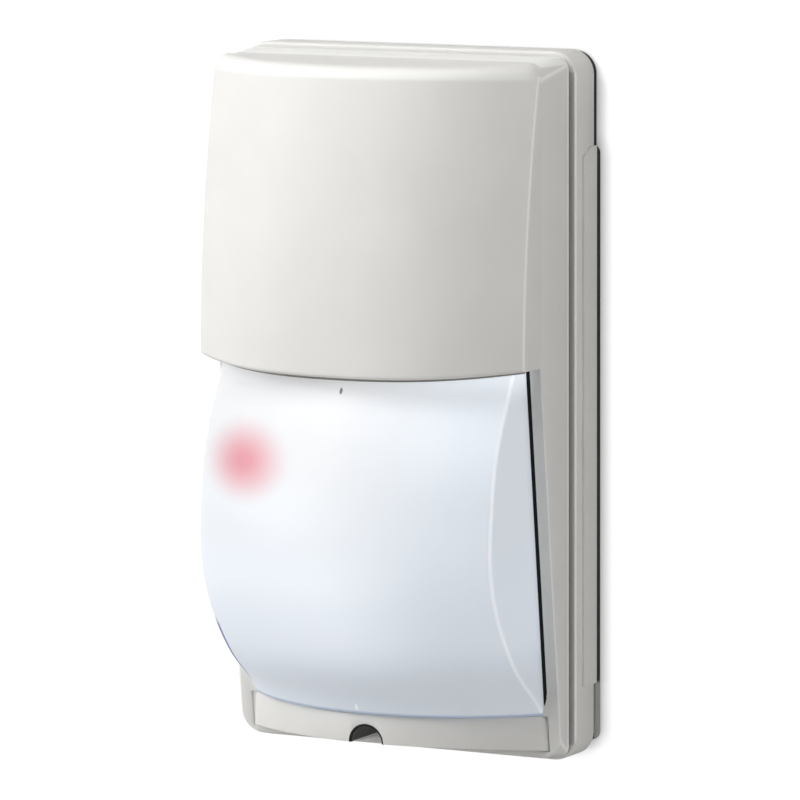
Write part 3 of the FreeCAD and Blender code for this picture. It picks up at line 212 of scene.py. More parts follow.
def rounded_outline(half_width, top, bottom, top_corner, low_corner):
    """Rounded rectangle in x and z, anticlockwise seen from the front, as (points, 2).

    Four quarter circles joined by straights that carry points at fixed levels.
    """
    turn = np.linspace(0, np.pi / 2, 9)
    upright = np.stack([np.full(SIDE_LEVELS.size, half_width), SIDE_LEVELS], -1)

    def quarter(corner, right, up, start):
        cx = right * (half_width - corner)
        cz = top - corner if up else bottom + corner
        return np.stack([cx + corner * np.cos(start + turn), cz + corner * np.sin(start + turn)], -1)

    return np.concatenate([
        quarter(low_corner, 1, False, -np.pi / 2), upright, quarter(top_corner, 1, True, 0.0),
        quarter(top_corner, -1, True, np.pi / 2), upright[::-1] * (-1, 1),
        quarter(low_corner, -1, False, np.pi),
    ])


def between(first, last, count):
    """Straight strip from one line of points to another, in a number of rows."""
    steps = np.linspace(0, 1, count)[:, None, None]
    return first * (1 - steps) + last * steps


def fillet(radius, steps=5):
    """Quarter round as pairs of inset from the side and drop from the front, from side to front."""
    turn = np.linspace(0, np.pi / 2, steps)
    return list(zip(radius * (1 - np.cos(turn)), radius * (1 - np.sin(turn))))


# Materials


def new_material(name):
    """A material with its nodes, links and shader, and the object coordinates to work from."""
    material = bpy.data.materials.new(name)
    material.use_nodes = True
    nodes = material.node_tree.nodes
    shader = nodes["Principled BSDF"]
    coordinates = nodes.new("ShaderNodeTexCoord")
    return material, nodes, material.node_tree.links, shader, coordinates.outputs["Object"]


def noise(nodes, links, vector, scale, detail):
    """Cloudy value between 0 and 1."""
    node = nodes.new("ShaderNodeTexNoise")
    node.inputs["Scale"].default_value = scale
    node.inputs["Detail"].default_value = detail
    node.inputs["Roughness"].default_value = 0.55
    links.new(vector, node.inputs["Vector"])
    return node.outputs["Fac"]


def ramp(nodes, links, value, stops):
    """Colour that runs through stops, each a place between 0 and 1 and its colour."""
    node = nodes.new("ShaderNodeValToRGB")
    links.new(value, node.inputs["Fac"])
    elements = node.color_ramp.elements
    while len(elements) < len(stops):
        elements.new(0.5)
    for element, (place, color) in zip(elements, stops):
        element.position = place
        element.color = (*color, 1.0)
    return node.outputs["Color"]


def bump(nodes, links, height, strength, distance):
    """Surface direction of a fine relief, its depth given in metres."""
    node = nodes.new("ShaderNodeBump")
    node.inputs["Strength"].default_value = strength
    node.inputs["Distance"].default_value = distance
    links.new(height, node.inputs["Height"])
    return node.outputs["Normal"]


def split(nodes, links, vector):
    """The x, y and z of a vector."""
    node = nodes.new("ShaderNodeSeparateXYZ")
    links.new(vector, node.inputs[0])
    return node.outputs


def sums(nodes, links, operation, first, second):
    """One sum, product or the like of a socket with a number or another socket."""
    node = nodes.new("ShaderNodeMath")
    node.operation = operation
    for socket, value in zip(node.inputs, (first, second)):
        if isinstance(value, (int, float)):
            socket.default_value = value
        else:
            links.new(value, socket)
    return node.outputs[0]


def step_between(nodes, links, value, low, high, start=0.0, end=1.0):
    """Soft step from one value to another while the input runs from low to high."""
    node = nodes.new("ShaderNodeMapRange")
    node.interpolation_type = "SMOOTHSTEP"
    node.inputs["From Min"].default_value = low
    node.inputs["From Max"].default_value = high
    node.inputs["To Min"].default_value = start
    node.inputs["To Max"].default_value = end
    links.new(value, node.inputs["Value"])
    return node.outputs["Result"]


def blend(nodes, links, factor, first, second):
    """Mixes two colours, each a socket or a plain colour."""
    node = nodes.new("ShaderNodeMix")
    node.data_type = "RGBA"
    links.new(factor, node.inputs["Factor"])
    for name, value in (("A", first), ("B", second)):
        if isinstance(value, tuple):
            node.inputs[name].default_value = (*value, 1.0)
        else:
            links.new(value, node.inputs[name])
    return node.outputs["Result"]


def shade(color, share):
    """A colour darkened to a share of itself."""
    return tuple(c * share for c in color)


def band(nodes, links, value, low, high, soft):
    """Mask that is one while the input lies between two values, with soft ends."""
    rise = step_between(nodes, links, value, low, low + soft)
    fall = step_between(nodes, links, value, high - soft, high, 1.0, 0.0)
    return sums(nodes, links, "MULTIPLY", rise, fall)


def moulded(name, color, roughness=0.42, painted_zones=()):
    """Moulded plastic: even colour with a faint mottle, fine spark-eroded grain.

    Each painted zone is a painted highlight or painted shade: a colour with limits for |x|, y and z, each
    None or low, high and softness in mm.
    """
    material, nodes, links, shader, vector = new_material(name)
    cloud = noise(nodes, links, vector, 55.0, 2.0)
    base = ramp(nodes, links, cloud, [(0.3, shade(color, 0.97)), (0.7, color)])
    if painted_zones:
        x, y, z = split(nodes, links, vector)
        axes = (sums(nodes, links, "ABSOLUTE", x, 0.0), y, z)
    for tint, *limits in painted_zones:
        mask = 1.0
        for axis, limit in zip(axes, limits):
            if limit:
                mask = sums(nodes, links, "MULTIPLY", band(nodes, links, axis, *map(mm, limit)), mask)
        base = blend(nodes, links, mask, base, tint)
    links.new(base, shader.inputs["Base Color"])
    fine = noise(nodes, links, vector, 2600.0, 2.0)
    wear = ramp(nodes, links, cloud, [(0.3, (roughness - 0.03,) * 3), (0.7, (roughness + 0.03,) * 3)])
    links.new(wear, shader.inputs["Roughness"])
    links.new(bump(nodes, links, fine, 0.35, mm(0.03)), shader.inputs["Normal"])
    shader.inputs["Specular IOR Level"].default_value = 0.35
    return material


def metal(name, color, roughness=0.32, stretch=(1.0, 1.0, 14.0)):
    """Plated or drawn metal: fine streaks in roughness and height."""
    material, nodes, links, shader, vector = new_material(name)
    scaled = nodes.new("ShaderNodeMapping")
    scaled.inputs["Scale"].default_value = stretch
    links.new(vector, scaled.inputs["Vector"])
    streak = noise(nodes, links, scaled.outputs["Vector"], 420.0, 4.0)
    links.new(ramp(nodes, links, streak, [(0.25, shade(color, 0.86)), (0.75, color)]),
              shader.inputs["Base Color"])
    links.new(ramp(nodes, links, streak, [(0.2, (roughness,) * 3), (0.8, (roughness + 0.16,) * 3)]),
              shader.inputs["Roughness"])
    links.new(bump(nodes, links, streak, 0.2, mm(0.02)), shader.inputs["Normal"])
    shader.inputs["Metallic"].default_value = 1.0
    return material


def laminate():
    """Circuit board: green lacquer over faint copper tracks on a square grid."""
    material, nodes, links, shader, vector = new_material("board_green")
    bricks = nodes.new("ShaderNodeTexBrick")
    turned = nodes.new("ShaderNodeMapping")
    turned.inputs["Rotation"].default_value = (math.pi / 2, 0, 0)
    links.new(vector, turned.inputs["Vector"])
    links.new(turned.outputs["Vector"], bricks.inputs["Vector"])
    bricks.inputs["Scale"].default_value = 90.0
    bricks.inputs["Mortar Size"].default_value = 0.035
    bricks.inputs["Color1"].default_value = (0.012, 0.11, 0.045, 1)
    bricks.inputs["Color2"].default_value = (0.016, 0.135, 0.055, 1)
    bricks.inputs["Mortar"].default_value = (0.05, 0.26, 0.11, 1)
    links.new(bricks.outputs["Color"], shader.inputs["Base Color"])
    cloud = noise(nodes, links, vector, 300.0, 2.0)
    links.new(bump(nodes, links, cloud, 0.2, mm(0.03)), shader.inputs["Normal"])
    shader.inputs["Roughness"].default_value = 0.3
    return material


def lit_lens():
    """Red light: coloured resin that glows from its middle."""
    material, nodes, links, shader, vector = new_material("light_red")
    cloud = noise(nodes, links, vector, 200.0, 2.0)
    red = ramp(nodes, links, cloud, [(0.3, (0.75, 0.02, 0.03)), (0.7, (0.85, 0.04, 0.05))])
    links.new(red, shader.inputs["Base Color"])
    links.new(red, shader.inputs["Emission Color"])
    shader.inputs["Emission Strength"].default_value = 1.5
    shader.inputs["Roughness"].default_value = 0.2
    return material


def clear_resin():
    """Light pipe: clear resin with faint flow lines."""
    material, nodes, links, shader, vector = new_material("resin_clear")
    cloud = noise(nodes, links, vector, 260.0, 2.0)
    links.new(ramp(nodes, links, cloud, [(0.3, (0.9, 0.92, 0.92)), (0.7, (0.96, 0.97, 0.97))]),
              shader.inputs["Base Color"])
    links.new(bump(nodes, links, cloud, 0.1, mm(0.02)), shader.inputs["Normal"])
    shader.inputs["Transmission Weight"].default_value = 0.9
    shader.inputs["Roughness"].default_value = 0.08
    return material


def spot(nodes, links, vector, centre, stretch, near, far):
    """Mask round a point in mm, with x and z stretched so that the spot has the wanted outline."""
    scaled = nodes.new("ShaderNodeMapping")
    scaled.inputs["Scale"].default_value = (stretch[0], 0.0, stretch[1])
    links.new(vector, scaled.inputs["Vector"])
    gap = nodes.new("ShaderNodeVectorMath")
    gap.operation = "DISTANCE"
    links.new(scaled.outputs["Vector"], gap.inputs[0])
    gap.inputs[1].default_value = (mm(centre[0]) * stretch[0], 0.0, mm(centre[1]) * stretch[1])
    return step_between(nodes, links, gap.outputs["Value"], mm(near), mm(far), 1.0, 0.0)


def window_tints_and_painted_light(nodes, links, vector):
    """Milky skin with painted light: painted shade making it bluer towards its foot and to the right, a
    painted highlight along the creases and painted shade at the lower left edge and at the foot.
    """
    x, y, z = split(nodes, links, vector)
    away = sums(nodes, links, "ABSOLUTE", x, 0.0)
    # Painted shade: bluer and a little darker towards the foot.
    height = step_between(nodes, links, z, mm(-95), mm(15))
    skin = ramp(nodes, links, height, [(0.0, (0.585, 0.625, 0.68)), (0.45, (0.605, 0.63, 0.665)),
                                       (0.8, (0.63, 0.64, 0.655)), (1.0, (0.635, 0.64, 0.65))])
    cloud = noise(nodes, links, vector, 18.0, 2.0)
    skin = blend(nodes, links, sums(nodes, links, "MULTIPLY", cloud, 0.05), skin, (0.52, 0.56, 0.62))
    # Painted shade: darker and bluer to the right, away from the main light.
    painted_shade_right = step_between(nodes, links, x, mm(-5), mm(45), 0.0, 0.85)
    skin = blend(nodes, links, painted_shade_right, skin, (0.575, 0.615, 0.665))
    # Painted highlight along the side creases.
    crease = band(nodes, links, away, mm(LENS_HALF - 1.0), mm(LENS_HALF - 0.03), mm(0.3))
    skin = blend(nodes, links, sums(nodes, links, "MULTIPLY", crease, 0.22), skin, (0.97, 0.975, 0.985))
    # Painted shade along the lower left edge.
    edge = band(nodes, links, away, mm(LENS_HALF - 2.5), mm(LENS_HALF - 0.03), mm(0.8))
    painted_shade_left_edge = sums(nodes, links, "MULTIPLY", edge, step_between(nodes, links, x, mm(-10), 0.0, 1.0, 0.0))
    under = sums(nodes, links, "MULTIPLY", band(nodes, links, z, mm(-92.5), mm(-66), mm(6)), painted_shade_left_edge)
    skin = blend(nodes, links, under, skin, (0.14, 0.14, 0.30))
    # Painted shade at the foot, where the window meets the chin.
    foot = step_between(nodes, links, z, mm(-95.0), mm(-94.2), 0.7, 0.0)
    return blend(nodes, links, foot, skin, (0.25, 0.32, 0.45))


def window_marks_and_painted_glow(nodes, links, vector, skin):
    """Painted red glow of the alarm light on the skin, a dark index mark near the top and a pale one at the
    foot.
    """
    # Painted light: the alarm light's red glow painted onto the skin.
    glow = spot(nodes, links, vector, (-31.2, -15.2), (0.72, 1.0), 0.9, 15.2)
    skin = blend(nodes, links, glow, skin, (0.575, 0.240, 0.278))
    tick = spot(nodes, links, vector, (1.6, 7.9), (1.0, 0.5), 0.3, 0.65)
    skin = blend(nodes, links, tick, skin, (0.10, 0.14, 0.16))
    mark = spot(nodes, links, vector, (-1.8, -93.2), (1.0, 0.35), 0.2, 0.45)
    return blend(nodes, links, mark, skin, (0.98, 0.98, 0.98))


def window_painted_light(nodes, links, vector):
    """Painted light as the skin's own glow: more under the hood, where it lifts the hood's shadow, to the
    right and low down, less to the upper left and a little less on the flanks.
    """
    x, y, z = split(nodes, links, vector)
    away = sums(nodes, links, "ABSOLUTE", x, 0.0)
    right = step_between(nodes, links, x, mm(-42), mm(4), 0.0, 0.14)
    middle = sums(nodes, links, "MULTIPLY", right, step_between(nodes, links, z, mm(-84), mm(-66)))
    # Painted light under the hood, lifting the hood's shadow.
    above = step_between(nodes, links, z, mm(3), mm(16), 0.365, 0.80)
    low = sums(nodes, links, "MULTIPLY", band(nodes, links, z, mm(-90), mm(-35), mm(20)),
               step_between(nodes, links, x, 0.0, mm(40), 0.17, 0.02))
    lit = sums(nodes, links, "ADD", sums(nodes, links, "ADD", middle, above), low)
    # Painted light to the upper right, painted shade to the upper left.
    tilt = step_between(nodes, links, x, mm(-5), mm(40), -0.10, 0.11)
    painted_shade_left_middle = sums(nodes, links, "MULTIPLY", band(nodes, links, x, mm(-36), mm(4), mm(16)), -0.075)
    tilt = sums(nodes, links, "ADD", tilt, painted_shade_left_middle)
    tilt = sums(nodes, links, "MULTIPLY", tilt, step_between(nodes, links, z, mm(-30), mm(-5)))
    face = step_between(nodes, links, away, mm(LENS_HALF - 0.9), mm(LENS_HALF - 0.2), 1.0, 0.0)
    lit = sums(nodes, links, "ADD", lit, sums(nodes, links, "MULTIPLY", tilt, face))
    # A little less painted light on the flanks.
    flank = step_between(nodes, links, away, mm(LENS_HALF - 0.25), mm(LENS_HALF - 0.05), 1.0, 0.93)
    return sums(nodes, links, "MULTIPLY", lit, flank)


def window_material():
    """Milky plastic with a painted glow of its own in place of the light that scatters inside it."""
    material, nodes, links, shader, vector = new_material("window_milky")
    skin = window_marks_and_painted_glow(nodes, links, vector, window_tints_and_painted_light(nodes, links, vector))
    links.new(skin, shader.inputs["Base Color"])
    # Painted light: the skin glows in its own colour.
    links.new(skin, shader.inputs["Emission Color"])
    links.new(window_painted_light(nodes, links, vector), shader.inputs["Emission Strength"])
    shader.inputs["Roughness"].default_value = 0.4
    shader.inputs["Specular IOR Level"].default_value = 0.45
    fine = noise(nodes, links, vector, 1500.0, 2.0)
    links.new(bump(nodes, links, fine, 0.15, mm(0.02)), shader.inputs["Normal"])
    return material


def plate_painted_shade_material():
    """Back plate in painted shade: near black where the pads shade it, with painted light in a paler grey at
    the outer edge of its lower end.
    """
    material, nodes, links, shader, vector = new_material("plate_painted_shade")
    x, y, z = split(nodes, links, vector)
    away = sums(nodes, links, "ABSOLUTE", x, 0.0)
    # Painted light: paler grey at the outer edge of the plate's lower end, below the pads.
    low = step_between(nodes, links, z, mm(PAD_LOW - 0.8), mm(PAD_LOW + 0.8), 1.0, 0.0)
    rim = step_between(nodes, links, away, mm(CASE_HALF_WIDTH - 0.2), mm(CASE_HALF_WIDTH))
    low = sums(nodes, links, "MULTIPLY", low, rim)
    cloud = noise(nodes, links, vector, 60.0, 2.0)
    # Painted shade: near black over the rest of the plate.
    dark = ramp(nodes, links, cloud, [(0.3, (0.020, 0.020, 0.021)), (0.7, (0.028, 0.028, 0.028))])
    links.new(blend(nodes, links, low, dark, (0.40, 0.395, 0.38)), shader.inputs["Base Color"])
    fine = noise(nodes, links, vector, 2200.0, 2.0)
    links.new(bump(nodes, links, fine, 0.3, mm(0.03)), shader.inputs["Normal"])
    shader.inputs["Roughness"].default_value = 0.55
    return material


def notch_painted_shade_material():
    """Screwdriver notch in painted shade: black at its mouth, dark grey further in."""
    material, nodes, links, shader, vector = new_material("notch_painted_shade")
    y = split(nodes, links, vector)[1]
    # Painted shade of the deep notch: black at the mouth, dark grey behind it.
    mouth = -(PLATE + rim_depth(CHIN_LOW) + CHIN_SAG - 1.0)
    deep = step_between(nodes, links, y, mm(mouth - 0.2), mm(mouth + 0.2))
    cloud = noise(nodes, links, vector, 400.0, 3.0)
    grey = ramp(nodes, links, cloud, [(0.3, (0.085, 0.085, 0.08)), (0.7, (0.12, 0.12, 0.115))])
    links.new(blend(nodes, links, deep, (0.004, 0.004, 0.004), grey), shader.inputs["Base Color"])
    links.new(bump(nodes, links, cloud, 0.2, mm(0.03)), shader.inputs["Normal"])
    shader.inputs["Roughness"].default_value = 0.6
    return material


WARM_GREY = (0.80, 0.79, 0.762)
# Painted highlight for edges and the tray's top
PAINTED_HIGHLIGHT = (0.96, 0.955, 0.93)
# Painted highlight for the rounding of the hood's top
PAINTED_HOOD_TOP_HIGHLIGHT = (0.89, 0.885, 0.86)
# Painted shade for the case's lip in the seam
PAINTED_SEAM_SHADE = (0.58, 0.57, 0.54)
CASE_STRAIGHT = (-106.0, 105.0, 1.0)
case_plastic = moulded("case_warm_grey", WARM_GREY, painted_zones=[
    # painted highlight along the hood's side creases and the rim's outer edges
    (PAINTED_HIGHLIGHT, (HALF_WIDTH - 0.7, HALF_WIDTH - 0.02, 0.3), None, None),
    # painted highlight on the cover's rear edge at the seam
    (PAINTED_HIGHLIGHT, (HALF_WIDTH - 0.8, HALF_WIDTH + 0.2, 0.2), (SEAM_Y - 1.5, SEAM_Y + 0.1, 0.3), None),
    # painted light on the tray's top
    (PAINTED_HIGHLIGHT, None, (-33.0, -16.0, 1.2), (HALF_HEIGHT - 2.6, HALF_HEIGHT + 1.8, 0.6)),
    # painted highlight on the rounding of the hood's top edge
    (PAINTED_HOOD_TOP_HIGHLIGHT, None, (-76.0, -37.0, 4.0), (HOOD_TOP - 5.3, HOOD_TOP - 0.8, 1.3)),
])
rear_plastic = moulded("rear_warm_grey", WARM_GREY, painted_zones=[
    # painted shade on the case's front lip, in the seam
    (PAINTED_SEAM_SHADE, (CASE_HALF_WIDTH - 4.5, CASE_HALF_WIDTH - 0.4, 0.3),
     (CASE_LIP_Y - 0.4, CASE_LIP_Y + 1.4, 0.3), CASE_STRAIGHT),
    # painted highlight on the outer edge of the case's lip
    (PAINTED_HIGHLIGHT, (CASE_HALF_WIDTH - 0.5, CASE_HALF_WIDTH + 0.2, 0.2),
     (CASE_LIP_Y - 0.4, CASE_LIP_Y + 0.8, 0.2), CASE_STRAIGHT),
])
# Painted shadow: a dark copy of the plastic for the strip under the hood's lip.
lip_shadow = moulded("lip_painted_shadow", (0.29, 0.285, 0.255), roughness=0.6)
# Black rubber, also used as painted shade in the gap beside the window.
rubber_and_gap_shade = moulded("rubber_black", (0.006, 0.006, 0.006), roughness=0.7)
window_plastic = window_material()


# Cover: tray, hood and chin in one moulding


def top_corner(depth):
    """Corner radius at the cover's top: it widens from the seam forwards."""
    return TOP_CORNER + np.clip(depth - COVER_BACK, 0, None) * TOP_CORNER_GROWTH


def low_corner(depth):
    """Corner radius at the cover's bottom: it widens fast from the seam to the rim."""
    share = (depth - COVER_BACK) / (RIM_LOW - COVER_BACK)
    return LOW_CORNER + LOW_CORNER_GROWTH * np.clip(share, 0, 1)


def side_front(z):
    """Depth of the tray's front edge: the rim's plane below the hood, then level."""
    return np.minimum(rim_depth(z), rim_depth(HOOD_LOW))


def tray_ring(inset, depth_of, drop=0.0):
    """One ring of the tray, drawn in by an inset, with its top falling forwards."""
    high = depth_of(HALF_HEIGHT)
    low = depth_of(-HALF_HEIGHT)
    outline = rounded_outline(HALF_WIDTH - inset, HALF_HEIGHT - inset, -HALF_HEIGHT + inset,
                              max(top_corner(high) - inset, 0.5), max(low_corner(low) - inset, 0.5))
    x, z = outline.T
    depth = depth_of(z) - drop
    fall = TRAY_FALL * (depth - COVER_BACK) / (rim_depth(HOOD_LOW) - COVER_BACK)
    near_top = np.clip((z - 95) / 10, 0, 1)
    return to_row(x, depth, z - fall * near_top)


def at_depth(depth):
    """Front edge that lies at one depth at every height."""
    return lambda z: depth + 0 * z


def tray(sheets):
    """Outline rings carried from inside the rear edge round it and forwards to the rim.

    Each ring is the rounded outline drawn in by an inset, at the front edge's depth less
    the fillet's drop. The rim's face then runs in to the window opening and over its edge.
    """
    wall, inside = 2.4, 3.0
    rings = [tray_ring(wall, at_depth(COVER_BACK + inside)), tray_ring(wall, at_depth(COVER_BACK))]
    for inset, drop in fillet(0.45, 4)[::-1]:
        rings.append(tray_ring(inset, at_depth(COVER_BACK), -drop))
    for inset, drop in fillet(0.5):
        rings.append(tray_ring(inset, side_front, drop))
    sheets.grid(np.array(rings), closed_columns=True)

    x, z = rounded_outline(WINDOW_HALF, HALF_HEIGHT - 6.0, CHIN_LOW - 0.3, WINDOW_CORNER, 0.3).T
    rows = [rings[-1]]
    for inset, drop in ((0.35, 0.0), (0.1, 0.1), (0.0, 0.35), (0.0, 2.6)):
        wide = x + np.sign(x) * inset
        tall = z - np.sign(HOOD_LOW - z) * inset
        rows.append(to_row(wide, side_front(tall) - drop, tall))
    sheets.grid(np.array(rows), closed_columns=True)


def window_corners(sheets):
    """Small webs that round the window opening where the rim meets the chin."""
    turn = np.linspace(0, np.pi / 2, 9)
    arc_x = WINDOW_HALF - WINDOW_CORNER + WINDOW_CORNER * np.sin(turn)
    arc_z = CHIN_TOP + WINDOW_CORNER - WINDOW_CORNER * np.cos(turn)
    for side in (-1, 1):
        rows = [to_row(side * x, rim_depth(arc_z) - drop, arc_z)
                for x, drop in ((WINDOW_HALF + 0.3, 0.05), (arc_x, 0.05), (arc_x, 2.5))]
        sheets.grid(np.array(rows))


def hood_crease(z):
    """Depth of the hood's side at a height: level at its lip, leaning back towards the top."""
    share = np.clip((z - HOOD_LOW) / (HOOD_TOP - HOOD_LOW), 0, None)
    return HOOD_SIDE - HOOD_LEAN * share ** HOOD_LEAN_POWER


def hood_half(z):
    """Half width of the cover's outline at a height, drawn in round its upper corners."""
    corner = top_corner(hood_crease(z))
    up = np.clip(z - (HALF_HEIGHT - corner), 0, corner)
    return HALF_WIDTH - corner + np.sqrt(corner ** 2 - up ** 2)


def hood_bulge(x):
    """Bulge of the hood in plan: full in the middle, falling by a power of x to none at its sides."""
    return HOOD_SAG * (1 - np.abs(x / HALF_WIDTH) ** HOOD_POWER)


def rounding(edge, radius):
    """How far a quarter round of a radius falls at a distance from the edge."""
    inside = np.clip(radius - edge, 0, radius)
    return radius - np.sqrt(np.maximum(radius ** 2 - inside ** 2, 0))


def hood_drooped(x, z):
    """Height after the droop: the lip sinks with the bulge in front of its sides."""
    share = np.clip((HOOD_TOP - z) / (HOOD_TOP - HOOD_LOW), 0, 1)
    return z - HOOD_DROOP * hood_bulge(x) / HOOD_SAG * share ** 6


def eased(count, ends):
    """Steps from 0 to 1 with extra ones, given as distances, near both ends."""
    middle = np.linspace(0, 1, count)
    ends = np.array(ends)
    steps = np.concatenate([ends, 1 - ends, middle[(middle > ends.max()) & (middle < 1 - ends.max())]])
    return np.unique(np.round(steps, 7))


def hood(sheets):
    """Front as a grid over x and z with its edges rounded, then sides, top and lip.

    Depth is the crease's plus the bulge in plan, less the roundings at sides, top and lip.
    Returns the lip's points.
    """
    arc = 1 - np.cos(np.linspace(0, np.pi / 2, 6))
    across = eased(48, SIDE_ROUND * arc / (2 * HALF_WIDTH))
    up = eased(44, np.unique(np.concatenate([TOP_ROUND * arc, LIP_ROUND * arc])) / (HOOD_TOP - HOOD_LOW))
    share_x, share_z = np.meshgrid(across, up, indexing="xy")
    z_flat = HOOD_LOW + share_z * (HOOD_TOP - HOOD_LOW)
    half = hood_half(z_flat)
    x = (2 * share_x - 1) * half
    depth = hood_crease(z_flat) + hood_bulge(x)
    depth = depth - rounding(half - np.abs(x), SIDE_ROUND)
    depth = depth - rounding(HOOD_TOP - z_flat, TOP_ROUND) - rounding(z_flat - HOOD_LOW, LIP_ROUND)
    z = hood_drooped(x, z_flat)
    joint = rim_depth(HOOD_LOW)
    run = np.clip((depth - joint) / (HOOD_SIDE + HOOD_SAG - joint), 0, 1)
    upper = np.clip((z_flat - HOOD_FALL_FROM) / (HOOD_TOP - HOOD_FALL_FROM), 0, 1)
    z = z - HOOD_FALL * run * upper ** 2
    front = to_row(x, depth, z)
    sheets.grid(front)

    for edge in (0, -1):
        side = front[:, edge]
        rear = side.copy()
        rear[:, 1] = mm(-(PLATE + joint))
        rear[:, 2] = mm(z_flat[:, edge])
        sheets.grid(between(side, rear, 4))
    top = front[-1]
    rear = top.copy()
    rear[:, 1] = mm(-(PLATE + joint - 0.6))
    rear[:, 2] = mm(HOOD_TOP)
    sheets.grid(between(top, rear, 6))

    lip = front[0]
    path = ((0, 0), (0.6, -0.1), (1.5, -0.1))
    sheets.grid(np.array([drawn_in(lip, inward, rise) for inward, rise in path]))
    return lip


def drawn_in(line, inward, rise):
    """The lip's curve drawn towards the case and lifted, in millimetres."""
    moved = line.copy()
    moved[:, 0] -= np.sign(line[:, 0]) * np.minimum(mm(inward), np.abs(line[:, 0]))
    moved[:, 1] += mm(inward)
    moved[:, 2] += mm(rise)
    return moved


def lip_inside(sheets, lip):
    """Dark strip of painted shadow at the hood's inner edge: hangs just below the lip and runs back inside.
    """
    path = ((1.4, 0.4), (1.4, -0.75), (1.9, -0.95), (3.0, -0.95), (3.0, 2.0))
    rows = [drawn_in(lip, inward, rise) for inward, rise in path]
    deep = rows[-1].copy()
    deep[:, 0] = np.clip(deep[:, 0], mm(-WINDOW_HALF), mm(WINDOW_HALF))
    deep[:, 1] = mm(-(PLATE + rim_depth(HOOD_LOW) - 3.0))
    rows.append(deep)
    sheets.grid(np.array(rows))


CHIN_FOOT = rim_depth(CHIN_LOW)
CHIN_BACK = CHIN_FOOT - 1.5


def chin(sheets):
    """Convex band: plan curve is a parabola in front of the rim, its underside rises forwards.

    Rows run over the top, round the front and back along the underside, one point per x.
    """
    across = np.sin(np.linspace(-np.pi / 2, np.pi / 2, 85)) * CHIN_HALF
    arch_x = NOTCH_RADIUS * np.sin(np.linspace(-np.pi / 2, np.pi / 2, 25))
    x = np.unique(np.round(np.concatenate([across[np.abs(across) > NOTCH_RADIUS + 0.3], arch_x,
                                           [-NOTCH_RADIUS - 0.01, NOTCH_RADIUS + 0.01]]), 5))
    front = chin_front(x)
    under = CHIN_LOW + CHIN_RISE * (front - CHIN_FOOT)
    arch = NOTCH_HEIGHT + np.sqrt(np.clip(NOTCH_RADIUS ** 2 - x ** 2, 0, None))
    in_notch = np.abs(x) <= NOTCH_RADIUS
    low = np.where(in_notch, np.maximum(arch, under), under)
    top_edge, low_edge = 0.6, 0.35
    rows = [
        to_row(x, CHIN_BACK, CHIN_TOP),
        to_row(x, front - top_edge, CHIN_TOP),
        to_row(x, front - top_edge * 0.3, CHIN_TOP - top_edge * 0.3),
        to_row(x, front, CHIN_TOP - top_edge),
        to_row(x, front, low + low_edge),
        to_row(x, front - 0.1, low + 0.1),
        to_row(x, front - low_edge, low),
        to_row(x, CHIN_BACK, np.where(in_notch, low, CHIN_LOW)),
    ]
    sheets.grid(np.array(rows), closed_rows=True)
    for edge in (0, -1):
        end = np.array([row[edge] for row in rows])
        sheets.grid(np.array([end, np.repeat(end.mean(0)[None], len(end), 0)]), closed_columns=True)


def groove_floor(sheets):
    """Floor of the narrow groove between each end of the chin and the rim."""
    z = np.linspace(CHIN_LOW - 0.3, CHIN_TOP + 9.0, 12)
    for side, drop in ((-1, 0.45), (1, 1.2)):
        rows = [to_row(side * x, rim_depth(z) - drop, z) for x in (CHIN_HALF - 4.0, WINDOW_HALF + 0.05)]
        sheets.grid(np.array(rows))


def chin_front(x):
    """Depth of the chin's front: a parabola that falls to the rim at its ends."""
    return CHIN_FOOT + CHIN_SAG * (1 - (x / CHIN_HALF) ** 2)


def notch(sheets):
    """Lining of the screwdriver notch: a half pipe with a narrow mouth and a wall at its end."""
    turn = np.linspace(0, np.pi, 33)
    mouth = chin_front(NOTCH_RADIUS * np.cos(turn))
    wide, narrow = NOTCH_RADIUS - 0.1, NOTCH_RADIUS - 0.75
    path = ((NOTCH_RADIUS + 0.05, mouth - 0.15), (narrow, mouth - 0.5), (narrow, mouth - 2.0),
            (wide, mouth - 2.0), (wide, NOTCH_END), (0.2, NOTCH_END))
    rows = [to_row(radius * np.cos(turn), depth, NOTCH_HEIGHT + radius * np.sin(turn))
            for radius, depth in path]
    sheets.grid(np.array(rows))


def notch_floor(sheets):
    """Closes the chin's underside behind the notch, with a low wall at the notch's end."""
    x = np.linspace(-NOTCH_RADIUS - 0.2, NOTCH_RADIUS + 0.2, 5)
    under = CHIN_LOW + CHIN_RISE * (NOTCH_END - CHIN_FOOT)
    path = ((NOTCH_END, NOTCH_HEIGHT + 0.3), (NOTCH_END, under), (CHIN_BACK, CHIN_LOW))
    sheets.grid(np.array([to_row(x, depth, z) for depth, z in path]))


cover_sheets = Sheets()
tray(cover_sheets)
window_corners(cover_sheets)
hood_lip = hood(cover_sheets)
chin(cover_sheets)
groove_floor(cover_sheets)
notch_floor(cover_sheets)
cover = cover_sheets.piece("cover_shell", "case_plastic", case_plastic)
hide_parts("front_cover")

lip_sheets = Sheets()
lip_inside(lip_sheets, hood_lip)
lip_sheets.piece("hood_lip_painted_shadow", "case_plastic", lip_shadow)

notch_sheets = Sheets()
notch(notch_sheets)
notch_sheets.piece("notch_lining", "case_plastic", notch_painted_shade_material())


# Window


